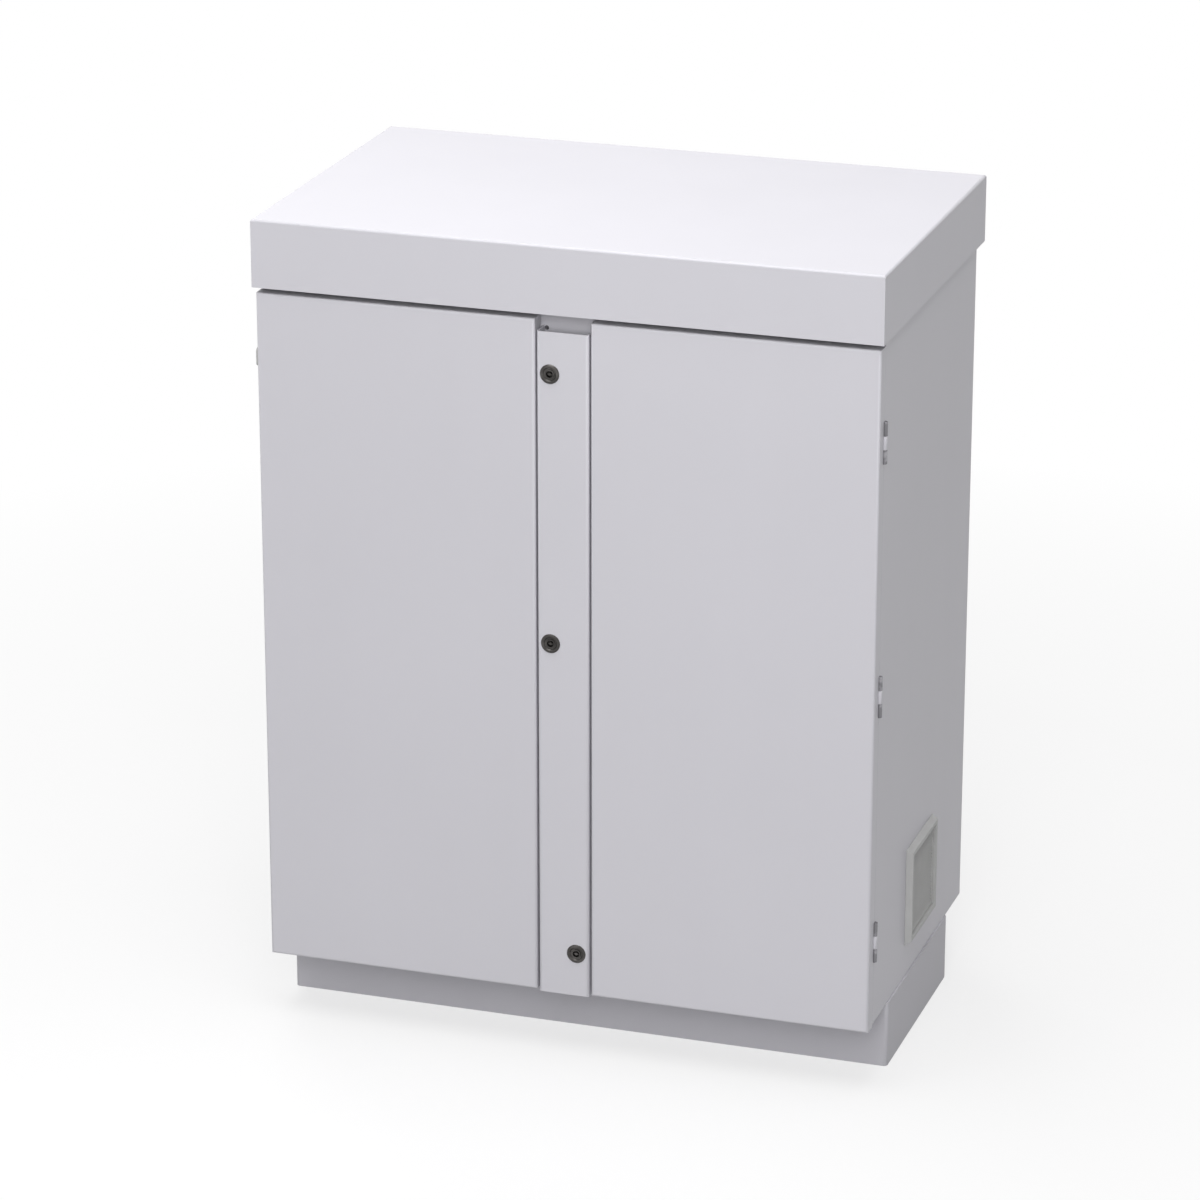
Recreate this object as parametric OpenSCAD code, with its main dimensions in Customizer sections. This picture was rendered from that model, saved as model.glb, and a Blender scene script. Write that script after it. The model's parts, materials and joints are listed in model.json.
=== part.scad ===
// Roadside utility cabinet: a folded sheet carcass on a plinth, with a hood,
// two tray doors, a fixed centre post with three quarter-turn locks and a side vent.
// +X is right, +Y is back, +Z is up; the origin is the middle of the plinth's anchor holes, on the ground.

/* [Cabinet] */
// Width over the doors and side panels
cabinet_w = 900; // [800:10:1100]
// Depth from the door fronts to the outside of the back panel
cabinet_d = 520; // [460:10:700]
// Thickness of the folded sheet
sheet_t = 2; // [1.5:0.1:2.5]
// Outside radius of the folds
fold_r = 4; // [3:0.5:6]
// Clearance between pieces that slip past each other
slip = 0.3; // [0.2:0.05:0.4]
// Radial clearance of pins, cores and shanks in their holes
pin_clear = 0.05; // [0.02:0.01:0.09]

/* [Plinth] */
// Height of the plinth
plinth_h = 98; // [80:1:140]
// Distance of the plinth behind the door fronts
plinth_setback = 99; // [80:1:130]
// Depth of the plinth
plinth_d = 335; // [300:5:360]
// Ledge by which the plinth is wider than the side panels
plinth_ledge = 2.5; // [0.5:0.1:4]
// Thickness of the plinth sheet
plinth_t = 3; // [2:0.5:4]
// Width of the plinth's inward flanges
plinth_flange = 45; // [40:1:55]
// Radius of the anchor holes
anchor_r = 7; // [5:0.5:9]
// Distance of the anchor holes from the plinth's outside
anchor_inset = 28; // [24:1:32]

/* [Hood] */
// Height of the hood
hood_h = 98; // [70:1:140]
// Shadow gap between the door tops and the hood
hood_gap = 8; // [5:1:12]
// Height by which the hood laps over the carcass
hood_lap = 19; // [16:1:30]
// Overhang at each side
hood_side = 4.5; // [3.5:0.5:12]
// Overhang in front of the doors
hood_front = 3; // [2.6:0.1:6]
// Overhang behind the back panel
hood_back = 30; // [15:1:60]
// Radius of the posts that carry the hood
hood_post_r = 8; // [6:1:12]
// Distance of those posts from the carcass sides
hood_post_inset = 70; // [50:5:120]

/* [Doors] */
// Height of the doors
door_h = 1000; // [900:10:1200]
// Depth of the door trays
door_d = 24.5; // [23.5:0.5:27]
// Height by which the doors hang below the cabinet floor
door_drop = 4; // [2:1:8]
// Seam between the door returns and the side panels
seam = 1; // [0.8:0.1:1.4]
// Width of the inward lip at the back of the door trays
lip_w = 26; // [24:1:30]
// Height of the stiffener in each door
stiffener_h = 860; // [700:10:880]
// Width of the stiffener's box
stiffener_w = 34; // [24:2:60]
// Depth of the stiffener's box
stiffener_d = 14; // [8:1:16]
// Height of the buffer on the left door's edge
buffer_h = 26; // [16:1:40]
// Width of that buffer
buffer_w = 10; // [6:1:14]
// Height by which it stands proud
buffer_proud = 3; // [2:0.5:4.5]
// Distance of the buffer's middle below the door's top
buffer_drop = 95; // [60:1:140]

/* [Front frame] */
// Distance of the frame's face behind the door fronts
frame_y = 32; // [31:0.5:36]
// Width by which the frame reaches past the door lips
frame_reach = 12; // [8:1:20]
// Depth of the frame's rearward flanges
frame_d = 26; // [16:1:40]
// Width of the door seals
seal_w = 12; // [8:1:13]
// Distance of the seals inside the edges of the door lips
seal_inset = 1; // [0.5:0.5:2]

/* [Centre post] */
// Width of the post
post_w = 75; // [64:1:90]
// Gap between the post and each door
post_gap = 3; // [2.5:0.5:8]
// Distance of the post's top below the door tops
post_top = 17; // [10:1:30]
// Distance of the post's foot below the door bottoms
post_foot = 2; // [1:1:6]
// Length of the tabs that lap over the frame's rails
post_tab = 36; // [30:1:38]

/* [Hinges] */
// Outside radius of the knuckles
knuckle_r = 4; // [3.6:0.1:4.4]
// Height of each outer knuckle
knuckle_h = 20; // [16:0.5:30]
// Height of the middle knuckle
middle_h = 20; // [12:0.5:26]
// Radius of the pins
pin_r = 2; // [1.6:0.1:2.4]
// Distance of the hinge axis outside the side panels
axis_out = 0.5; // [0.4:0.1:0.8]
// Distance between hinges
hinge_pitch = 367; // [300:1:400]
// Height of the middle hinge above the door's bottom
hinge_mid = 497; // [470:1:530]
// Thickness of the hinge leaves
leaf_t = 2; // [1.5:0.1:2.2]

/* [Locks] */
// Radius of the lock's flange
lock_flange_r = 14; // [13:0.5:15]
// Height by which the flange stands proud
lock_proud = 2.5; // [1:0.5:2.5]
// Radius of the housing
housing_r = 11; // [10:0.5:11.5]
// Length of the housing behind the post's face
housing_l = 13; // [11:0.5:14]
// Radius of the turning core
core_r = 6.5; // [5.5:0.5:7.5]
// Distance of the locks from the post's middle
lock_x = 18.5; // [17:0.5:19]
// Upper lock below the door's top
lock_upper = 77; // [70:1:120]
// Middle lock above the door's bottom
lock_middle = 530; // [480:1:560]
// Lower lock above the door's bottom
lock_lower = 63; // [60:1:110]
// Length of the tongue from the lock's axis
tongue_l = 31.5; // [30:0.5:34]
// Width of the tongue
tongue_w = 14; // [12:0.5:16]
// Thickness of the tongue
tongue_t = 3; // [2:0.5:4]

/* [Vent] */
// Outside width of the vent
vent_w = 148; // [130:1:180]
// Height by which the vent stands proud of the side panel
vent_proud = 9.5; // [8:0.5:14]
// Width of the bevel around the vent
vent_bevel = 5; // [4:0.5:10]
// Distance of the vent's middle behind the door fronts
vent_y = 268; // [180:1:340]
// Height of the vent's middle above the cabinet floor
vent_z = 124; // [110:1:400]
// Width of the vent's opening
vent_open = 116; // [100:1:118]
// Depth of the vent's sleeve inside the side panel
sleeve_d = 16; // [12:1:24]
// Distance between louvre slats
louvre_pitch = 5.5; // [4.5:0.5:9]

/* [Inside] */
// Distance of the mounting plate in front of the back panel
plate_gap = 26; // [20:1:40]
// Distance of the mounting plate's edges from the carcass sides
plate_side = 68; // [60:1:120]
// Height of the mounting plate
plate_h = 860; // [700:10:880]
// Thickness of the mounting plate
plate_t = 2.5; // [2:0.5:4]
// Width between the equipment holes
rack_w = 500; // [400:10:600]
// Height between the equipment holes
rack_h = 600; // [400:10:650]
// Radius of the equipment holes
rack_r = 3.3; // [2.5:0.1:4.5]
// Width of the gland opening in the floor
gland_w = 540; // [440:10:600]
// Depth of the gland opening in the floor
gland_d = 130; // [110:5:160]
// Lap of the gland plate over the floor
gland_lap = 22; // [16:1:30]
// Radius of the cable grommets' holes
grommet_r = 25; // [18:1:32]
// Number of cable grommets
grommets = 4; // [2:1:5]
// Length of the earth bar
earth_l = 240; // [160:10:400]
// Height of the earth bar
earth_h = 20; // [16:1:30]
// Thickness of the earth bar
earth_t = 5; // [3:1:8]
// Number of terminals on the earth bar
terminals = 8; // [4:1:10]

/* [Fasteners] */
// Radius of the plinth bolts and hood studs
bolt_r = 5; // [4:0.5:6]
// Radius of the small screws
screw_r = 2.5; // [2:0.1:3]
// Radius of the screws that hold the centre post
post_screw_r = 1.5; // [1.2:0.1:2]
// Radius of the plate studs
stud_r = 4; // [3:0.5:5]

/* [Hidden] */
$fn = 48;

paint = "#cdccd2";
plinth_paint = "#b4b3b9";
zinc = "#b9bdc0";
gunmetal = "#5f6061";
steel = "#88898c";
rubber = "#2b2b2c";
plastic = "#bdbdb8";
copper = "#b8734a";
felt = "#d8d8d2";

eps = 0.01;
left = -1;
right = 1;
half_w = cabinet_w / 2;
inner_w = half_w - sheet_t;
back_y = cabinet_d - sheet_t;

// Radius and height of a screw's head over the screw's radius
screw_head = [2, 1.2];

floor_z = plinth_h;
floor_top = floor_z + sheet_t;
door_z0 = floor_z - door_drop;
door_z1 = door_z0 + door_h;
hood_z0 = door_z1 + hood_gap;
hood_z1 = hood_z0 + hood_h;
carcass_z1 = hood_z0 + hood_lap;
ceiling = carcass_z1 - sheet_t;

post_half = post_w / 2;
door_x0 = post_half + post_gap;
door_w = half_w - door_x0;
door_mid_x = (half_w + door_x0) / 2;
side_front = door_d + seam;
axis_x = half_w + axis_out;
axis_y = door_d + seam / 2;
frame_back = frame_y + sheet_t;

// Edges of the frame's opening, measured from the door lips
frame_in = sheet_t + lip_w + frame_reach;
jamb_x = half_w - frame_in;
mullion_x = door_x0 + frame_in;
rail_top_z = door_z1 - frame_in;
rail_low_z = door_z0 + frame_in;

seal_out = sheet_t + lip_w - seal_inset - seal_w;
// Screws that hold the post's tabs: on the left just behind its top, and on the right behind its foot
post_screw_x = post_half - sheet_t - screw_head[0] * post_screw_r - slip;
post_screw_z = [door_z1 - post_top - screw_head[0] * post_screw_r, rail_low_z - post_tab / 2];
post_screw_side = [left, right];
hinge_h = 2 * knuckle_h + middle_h;
notch_r = knuckle_r + slip;
hinge_z = [for (i = [1, 0, -1]) door_z0 + hinge_mid + i * hinge_pitch];

lock_z = [door_z1 - lock_upper, door_z0 + lock_middle, door_z0 + lock_lower];
lock_side = [left, left, right];
tongue_y = housing_l + slip;
// The core sits back in the flange and has a key well with a winged pin
core_front = -1;
well_wall = 1.5;
well_d = 6;
key_pin_r = 2;
key_wing = [6, 1.6];
stub_w = 8;
screw_bore = 8;
tip_r = tongue_w / 4;
tongue_head_r = 6;
tongue_head_h = 3;
lock_nut_af = 25;
lock_nut_t = 5;
// Room around a tongue in its slots
slot_clear = 1.5;

plate_y = back_y - plate_gap;
plate_front = plate_y - plate_t;
plate_w = cabinet_w - 2 * plate_side;
plate_z = (floor_top + ceiling) / 2;
standoff_r = 7;
standoff_inset = 25;
stud_out = 11;
plate_nut_af = 13;
plate_nut_t = 6.5;
earth_rise = 40;
earth_z = plate_z - plate_h / 2 + earth_rise;
terminal_pitch = earth_l / terminals;

plinth_half = half_w + plinth_ledge;
plinth_mid_y = plinth_setback + plinth_d / 2;
plinth_corner_r = 6;
plinth_rim = 32;
bolt_x = plinth_half - plinth_t - plinth_rim / 2;
bolt_dy = plinth_d / 2 - plinth_t - plinth_rim / 2;
bolt_l = 18;
bolt_af = 3.2 * bolt_r;
bolt_head_h = 6;
nut_t = 8;
nut_grip = 12;
screw_tail = 4;
gland_screw_n = 4;
grommet_pitch = gland_w / grommets;
// Rims above and below the gland plate, and the membrane's thickness and rise
grommet_rim = [5, 3];
grommet_lip = 3;
membrane_t = 2;
membrane_rise = 5;
membrane_r = [0.3 * grommet_r, 0.6 * grommet_r];
hood_post_x = half_w - hood_post_inset;
hood_post_y = [frame_back + hood_post_inset, cabinet_d - hood_post_inset];
exhaust_n = 8;
exhaust_w = 70;
exhaust_h = 10;
return_d = 18;
stiffener_flange = 14;

vent_mid_z = floor_z + vent_z;
vent_seat = 5;
vent_cut = vent_open + 2 * sheet_t;
grille_w = vent_open + 2 * vent_seat;
grille_d = 7.5;
grille_drop = 4;
slat_t = 1.2;
slat_angle = 40;
filter_rim = 5;

// Moves a piece from door-front coordinates to the cabinet's own frame
module place() translate([0, -plinth_mid_y, 0]) children();

// Mirrors a piece drawn for the right-hand side
module on_side(side) mirror([side < 0 ? 1 : 0, 0, 0]) children();

// Box between two corners
module span(low, high) translate(low) cube(high - low);

// Rod along Y from y0 to y1
module rod_y(x, y0, y1, z, r) translate([x, y0, z]) rotate([-90, 0, 0]) cylinder(h = y1 - y0, r = r);

// Hexagonal rod along Z with its width across flats
module hex(h, af) rotate(30) cylinder(h = h, r = af / sqrt(3), $fn = 6);

// Rectangle with its two corners at y = 0 rounded
module front_round(w, d, r) {
    translate([-w / 2, r]) square([w, d - r]);
    translate([-w / 2 + r, 0]) square([w - 2 * r, d]);
    for (s = [left, right]) translate([s * (w / 2 - r), r]) circle(r);
}

// Block with its four edges around the face y = 0 rounded, from z = 0 up
module soft_block(w, h, d, r) intersection() {
    linear_extrude(h) front_round(w, d, r);
    translate([0, 0, h / 2]) rotate([0, 90, 0]) translate([0, 0, -w / 2])
        linear_extrude(w) front_round(h, d, r);
}

// Folded tray that opens towards +Y
module tray(w, h, d, t, r) difference() {
    soft_block(w, h, d, r);
    translate([0, t, t]) soft_block(w - 2 * t, h - 2 * t, d, r - t);
}

// Rectangular band between an outline and the same outline moved inwards
module band(x0, x1, z0, z1, y0, y1, width) difference() {
    span([x0, y0, z0], [x1, y1, z1]);
    span([x0 + width, y0 - eps, z0 + width], [x1 - width, y1 + eps, z1 - width]);
}

// Rectangle with rounded corners, centred
module round_rect(w, d, r) {
    square([w - 2 * r, d], center = true);
    square([w, d - 2 * r], center = true);
    for (x = [left, right], y = [left, right]) translate([x * (w / 2 - r), y * (d / 2 - r)]) circle(r);
}

// Corners of a rectangle given by its half width and half height
function corners(x, y) = [for (i = [left, right], j = [left, right]) [i * x, j * y]];

// Evenly spaced places around zero
function spread(n, pitch) = [for (i = [0 : n - 1]) (i - (n - 1) / 2) * pitch];

function plinth_bolt_places() = [for (x = [left, 0, right], y = [left, right]) [x * bolt_x, y * bolt_dy]];

module plinth() color(plinth_paint) place() translate([0, plinth_mid_y, 0]) difference() {
    linear_extrude(plinth_h) round_rect(2 * plinth_half, plinth_d, plinth_corner_r);
    // Space between the two flanges
    translate([0, 0, plinth_t]) linear_extrude(plinth_h - 2 * plinth_t)
        round_rect(2 * (plinth_half - plinth_t), plinth_d - 2 * plinth_t, plinth_corner_r - plinth_t);
    plinth_mouth(plinth_flange, -eps, plinth_t + eps);
    plinth_mouth(plinth_rim, plinth_h - plinth_t - eps, plinth_h + eps);
    for (c = corners(plinth_half - anchor_inset, plinth_d / 2 - anchor_inset))
        translate([c.x, c.y, -eps]) cylinder(h = plinth_t + 2 * eps, r = anchor_r);
    for (c = plinth_bolt_places())
        translate([c.x, c.y, plinth_h - plinth_t - eps])
            cylinder(h = plinth_t + 2 * eps, r = bolt_r + pin_clear);
}

// Opening inside a plinth flange
module plinth_mouth(flange, z0, z1) translate([0, 0, z0]) linear_extrude(z1 - z0)
    round_rect(2 * (plinth_half - plinth_t - flange), plinth_d - 2 * (plinth_t + flange), plinth_corner_r);

module plinth_bolts() color(zinc) place() for (c = plinth_bolt_places())
    translate([c.x, plinth_mid_y + c.y, floor_top]) {
        hex(bolt_head_h, bolt_af);
        translate([0, 0, -bolt_l]) cylinder(h = bolt_l + eps, r = bolt_r);
    }

module floor_pan() color(paint) place() difference() {
    union() {
        span([-inner_w, frame_back, floor_z], [inner_w, back_y, floor_top]);
        for (s = [left, right]) on_side(s)
            span([inner_w - sheet_t, frame_back + frame_d, floor_z],
                [inner_w, back_y - return_d, floor_z + return_d]);
    }
    translate([0, plinth_mid_y, floor_z - eps]) linear_extrude(sheet_t + 2 * eps)
        square([gland_w, gland_d], center = true);
    for (c = plinth_bolt_places()) translate([c.x, plinth_mid_y + c.y, floor_z - eps])
        cylinder(h = sheet_t + 2 * eps, r = bolt_r + pin_clear);
    for (c = gland_screw_places()) translate([c.x, plinth_mid_y + c.y, floor_z - eps])
        cylinder(h = sheet_t + 2 * eps, r = screw_r + pin_clear);
}

function gland_screw_places() =
    [for (x = spread(gland_screw_n, gland_w / (gland_screw_n - 1)), y = [left, right])
        [x, y * (gland_d + gland_lap) / 2]];

module gland_plate() color(zinc) place() translate([0, plinth_mid_y, floor_top]) difference() {
    linear_extrude(sheet_t) round_rect(gland_w + 2 * gland_lap, gland_d + 2 * gland_lap, fold_r);
    for (x = spread(grommets, grommet_pitch))
        translate([x, 0, -eps]) cylinder(h = sheet_t + 2 * eps, r = grommet_r);
    for (c = gland_screw_places())
        translate([c.x, c.y, -eps]) cylinder(h = sheet_t + 2 * eps, r = screw_r + pin_clear);
}

module gland_screws() color(zinc) place() for (c = gland_screw_places())
    translate([c.x, plinth_mid_y + c.y, floor_top + sheet_t]) pan_screw(2 * sheet_t + screw_tail, screw_r);

// Pan-head screw pointing down, with its head on z = 0
module pan_screw(l, r) {
    cylinder(h = screw_head[1] * r, r = screw_head[0] * r);
    translate([0, 0, -l]) cylinder(h = l + eps, r = r);
}

// Soft membrane grommets, each with a groove that holds the gland plate's edge
module cable_grommets() color(rubber) place() for (x = spread(grommets, grommet_pitch))
    translate([x, plinth_mid_y, floor_top]) rotate_extrude() polygon([
        [0, membrane_rise + membrane_t], [membrane_r[0], membrane_rise + membrane_t],
        [membrane_r[1], sheet_t + grommet_lip], [grommet_r + grommet_rim[0], sheet_t + grommet_lip],
        [grommet_r + grommet_rim[0], sheet_t], [grommet_r - slip, sheet_t], [grommet_r - slip, 0],
        [grommet_r + grommet_rim[1], 0], [grommet_r + grommet_rim[1], -grommet_lip],
        [membrane_r[1], -grommet_lip], [membrane_r[0], membrane_rise], [0, membrane_rise]
    ]);

// Side panel with notches in its front edge for the knuckles
module side_panel() difference() {
    span([inner_w, side_front, floor_z], [half_w, cabinet_d, carcass_z1]);
    hinge_notches();
}

// Room around the knuckles of the three hinges
module hinge_notches() for (z = hinge_z)
    span([inner_w - notch_r, axis_y - notch_r, z - hinge_h / 2 - slip],
        [half_w + eps, axis_y + notch_r, z + hinge_h / 2 + slip]);

module left_side_panel() color(paint) place() on_side(left) side_panel();

module right_side_panel() color(paint) place() difference() {
    side_panel();
    translate([half_w, vent_y, vent_mid_z]) cube([3 * sheet_t, vent_cut, vent_cut], center = true);
}

module back_panel() color(paint) place() difference() {
    union() {
        span([-inner_w, back_y, floor_z], [inner_w, cabinet_d, carcass_z1]);
        for (s = [left, right]) on_side(s)
            span([inner_w - sheet_t, back_y - return_d, floor_top], [inner_w, back_y + eps, ceiling]);
    }
    // Air leaves behind the hood's skirt
    for (x = spread(exhaust_n, cabinet_w / (exhaust_n + 1)))
        translate([x, back_y, hood_z0 + hood_lap / 2 - sheet_t])
            cube([exhaust_w, 3 * sheet_t, exhaust_h], center = true);
}

module top_panel() color(paint) place() difference() {
    union() {
        span([-inner_w, frame_back, ceiling], [inner_w, back_y, carcass_z1]);
        for (s = [left, right]) on_side(s)
            span([inner_w - sheet_t, frame_back + frame_d, ceiling - return_d],
                [inner_w, back_y - return_d, carcass_z1]);
    }
    for (x = [left, right], y = hood_post_y)
        translate([x * hood_post_x, y, ceiling - eps])
            cylinder(h = sheet_t + 2 * eps, r = bolt_r + pin_clear);
}

module top_rail() color(paint) place() difference() {
    union() {
        span([-jamb_x, frame_y, rail_top_z], [jamb_x, frame_back, carcass_z1]);
        span([-jamb_x, frame_back - eps, rail_top_z], [jamb_x, frame_back + frame_d, rail_top_z + sheet_t]);
    }
    post_screw_hole(0);
}

module bottom_rail() color(paint) place() difference() {
    union() {
        span([-jamb_x, frame_y, floor_z], [jamb_x, frame_back, rail_low_z]);
        span([-jamb_x, frame_back - eps, rail_low_z - sheet_t], [jamb_x, frame_back + frame_d, rail_low_z]);
    }
    post_screw_hole(1);
}

module jamb() {
    span([jamb_x, frame_y, floor_z], [inner_w, frame_back, carcass_z1]);
    span([jamb_x, frame_back - eps, floor_top], [jamb_x + sheet_t, frame_back + frame_d, ceiling]);
}

module left_jamb() color(paint) place() on_side(left) jamb();

module right_jamb() color(paint) place() jamb();

module post_screw_hole(i) rod_y(post_screw_side[i] * post_screw_x, frame_y - sheet_t - eps,
    frame_back + eps, post_screw_z[i], post_screw_r + pin_clear);

// How far below the lock a swinging tongue crosses a wall at distance d from its axis
function swing(d) = sqrt(pow(tongue_l, 2) - pow(d, 2));

// Slot for a tongue in a wall between x0 and x1, drawn for the right-hand side
module tongue_slot(x0, x1, z)
    span([x0 - eps, tongue_y - slot_clear, z - swing(x0 - lock_x) - slot_clear],
        [x1 + eps, tongue_y + tongue_t + slot_clear, z + tongue_w / 2 + slot_clear]);

module centre_post() color(paint) place() difference() {
    union() {
        translate([0, 0, door_z0 - post_foot]) linear_extrude(door_h - post_top + post_foot) difference() {
            front_round(post_w, frame_y, fold_r);
            translate([0, sheet_t]) front_round(post_w - 2 * sheet_t, frame_y, fold_r - sheet_t);
        }
        for (s = [left, right]) on_side(s) {
            span([post_half - sheet_t, frame_y, rail_low_z], [mullion_x, frame_back, rail_top_z]);
            // The wall runs on into its flange
            span([post_half - sheet_t, frame_y - sheet_t, rail_low_z], [post_half, frame_back, rail_top_z]);
        }
        post_tab_plate(rail_top_z - post_tab / 2, door_z1 - sheet_t);
        post_tab_plate(rail_low_z - post_tab, rail_low_z + post_tab / 2);
    }
    for (i = [0 : 2]) {
        rod_y(lock_side[i] * lock_x, -eps, sheet_t + eps, lock_z[i], housing_r + pin_clear);
        on_side(lock_side[i]) tongue_slot(post_half - sheet_t, post_half, lock_z[i]);
    }
    for (i = [0, 1]) post_screw_hole(i);
}

module post_tab_plate(z0, z1)
    span([-post_half + sheet_t - eps, frame_y - sheet_t, z0], [post_half - sheet_t + eps, frame_y, z1]);

module post_screws() color(steel) place() for (i = [0, 1])
    translate([post_screw_side[i] * post_screw_x, frame_y - sheet_t, post_screw_z[i]]) rotate([90, 0, 0])
        pan_screw(2 * sheet_t + screw_tail, post_screw_r);

// The hood is a tray turned to open downwards
module hood() color(paint) place() translate([0, -hood_front, hood_z1]) rotate([-90, 0, 0])
    tray(cabinet_w + 2 * hood_side, cabinet_d + hood_back + hood_front, hood_h, sheet_t, fold_r);

function hood_post_places() = [for (x = [left, right], y = hood_post_y) [x * hood_post_x, y]];

module hood_posts() color(zinc) place() for (c = hood_post_places()) translate([c.x, c.y, 0]) {
    translate([0, 0, carcass_z1]) cylinder(h = hood_z1 - sheet_t - carcass_z1, r = hood_post_r);
    translate([0, 0, ceiling - nut_grip]) cylinder(h = sheet_t + nut_grip + eps, r = bolt_r);
}

module hood_nuts() color(zinc) place() for (c = hood_post_places())
    translate([c.x, c.y, ceiling - nut_t]) difference() {
        hex(nut_t, bolt_af);
        translate([0, 0, -eps]) cylinder(h = nut_t + 2 * eps, r = bolt_r + pin_clear);
    }

module door_seal() band(door_x0 + seal_out, half_w - seal_out, door_z0 + seal_out, door_z1 - seal_out,
    door_d + slip, frame_y, seal_w);

module left_door_seal() color(rubber) place() on_side(left) door_seal();

module right_door_seal() color(rubber) place() door_seal();

function standoff_places() = corners(plate_w / 2 - standoff_inset, plate_h / 2 - standoff_inset);

module mounting_plate() color(zinc) place() translate([0, plate_y, plate_z]) rotate([90, 0, 0])
    difference() {
        linear_extrude(plate_t) round_rect(plate_w, plate_h, fold_r);
        for (c = standoff_places()) plate_hole(c, stud_r + pin_clear);
        for (c = corners(rack_w / 2, rack_h / 2)) plate_hole(c, rack_r);
        for (x = spread(terminals, terminal_pitch)) plate_hole([x, earth_z - plate_z], screw_r + pin_clear);
    }

module plate_hole(c, r) translate([c.x, c.y, -eps]) cylinder(h = plate_t + 2 * eps, r = r);

module plate_standoffs() color(zinc) place() for (c = standoff_places()) {
    rod_y(c.x, plate_y, back_y, plate_z + c.y, standoff_r);
    rod_y(c.x, plate_front - stud_out, plate_y + eps, plate_z + c.y, stud_r);
}

module plate_nuts() color(zinc) place() for (c = standoff_places())
    translate([c.x, plate_front, plate_z + c.y]) rotate([90, 0, 0]) difference() {
        hex(plate_nut_t, plate_nut_af);
        translate([0, 0, -eps]) cylinder(h = plate_nut_t + 2 * eps, r = stud_r + pin_clear);
    }

module earth_bar() color(copper) place() difference() {
    span([-earth_l / 2, plate_front - earth_t, earth_z - earth_h / 2],
        [earth_l / 2, plate_front, earth_z + earth_h / 2]);
    for (x = spread(terminals, terminal_pitch))
        rod_y(x, plate_front - earth_t - eps, plate_front + eps, earth_z, screw_r + pin_clear);
}

module earth_screws() color(zinc) place() for (x = spread(terminals, terminal_pitch))
    translate([x, plate_front - earth_t, earth_z]) rotate([90, 0, 0])
        pan_screw(earth_t + plate_t + screw_tail, screw_r);

// Places a vent piece drawn around Z, with +Z pointing out of the side panel
module on_vent() translate([half_w, vent_y, vent_mid_z]) rotate([0, 90, 0]) children();

// Square frustum from z = 0 up
module frustum(w0, w1, h) {
    profile = [[-w0 / 2, 0], [w0 / 2, 0], [w1 / 2, h], [-w1 / 2, h]];
    intersection() {
        translate([0, w0 / 2, 0]) rotate([90, 0, 0]) linear_extrude(w0) polygon(profile);
        rotate(90) translate([0, w0 / 2, 0]) rotate([90, 0, 0]) linear_extrude(w0) polygon(profile);
    }
}

// Square block around Z between two heights
module square_z(w, z0, z1) translate([0, 0, z0]) linear_extrude(z1 - z0) square(w, center = true);

module vent_frame() color(plastic) place() on_vent() difference() {
    union() {
        frustum(vent_w, vent_w - 2 * vent_bevel, vent_proud);
        square_z(vent_cut - 2 * slip, -sheet_t - sleeve_d, eps);
    }
    square_z(grille_w, vent_proud - grille_d, vent_proud + eps);
    square_z(vent_open, -sheet_t - sleeve_d + sheet_t, vent_proud);
    square_z(vent_open - 2 * filter_rim, -sheet_t - sleeve_d - eps, vent_proud);
}

module vent_grille() color(plastic) place() on_vent() {
    difference() {
        square_z(grille_w - 2 * slip, vent_proud - grille_d, vent_proud - grille_drop);
        square_z(vent_open - sheet_t, 0, vent_proud);
    }
    intersection() {
        square_z(vent_open - sheet_t + eps, vent_proud - grille_d, vent_proud - grille_drop);
        for (x = spread(floor(vent_open / louvre_pitch), louvre_pitch))
            translate([x, 0, vent_proud - (grille_d + grille_drop) / 2]) rotate([0, slat_angle, 0])
                cube([slat_t, vent_open, 2 * grille_d], center = true);
    }
}

module vent_filter() color(felt) place() on_vent()
    square_z(vent_open - 2 * slip, -sleeve_d, vent_proud - grille_d - slip);

// Lock housing with its flange on the post's face
module lock_housing(i) color(gunmetal) place() lock_at(i) difference() {
    union() {
        rod_y(0, -lock_proud, 0, 0, lock_flange_r);
        rod_y(0, -eps, housing_l, 0, housing_r);
    }
    rod_y(0, -lock_proud - eps, housing_l + eps, 0, core_r);
}

module lock_at(i) translate([lock_side[i] * lock_x, 0, lock_z[i]]) children();

module lock_nuts() color(zinc) place() for (i = [0 : 2]) lock_at(i)
    translate([0, sheet_t, 0]) rotate([-90, 0, 0]) difference() {
        hex(lock_nut_t, lock_nut_af);
        translate([0, 0, -eps]) cylinder(h = lock_nut_t + 2 * eps, r = housing_r + pin_clear);
    }

// Turning core: a key well with a two-winged pin in front, a square stub behind
module lock_core(i) color(gunmetal) place() lock_at(i) difference() {
    union() {
        rod_y(0, core_front, tongue_y, 0, core_r - pin_clear);
        translate([0, tongue_y + tongue_t / 2, 0]) cube([stub_w, tongue_t + eps, stub_w], center = true);
    }
    difference() {
        rod_y(0, core_front - eps, core_front + well_d, 0, core_r - well_wall);
        rod_y(0, core_front + slip, core_front + well_d + eps, 0, key_pin_r);
        translate([-key_wing.x / 2, core_front + slip, -key_wing.y / 2])
            cube([key_wing.x, well_d, key_wing.y]);
    }
    rod_y(0, tongue_y + tongue_t - screw_bore, tongue_y + tongue_t + 2 * eps, 0, screw_r + pin_clear);
}

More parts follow.
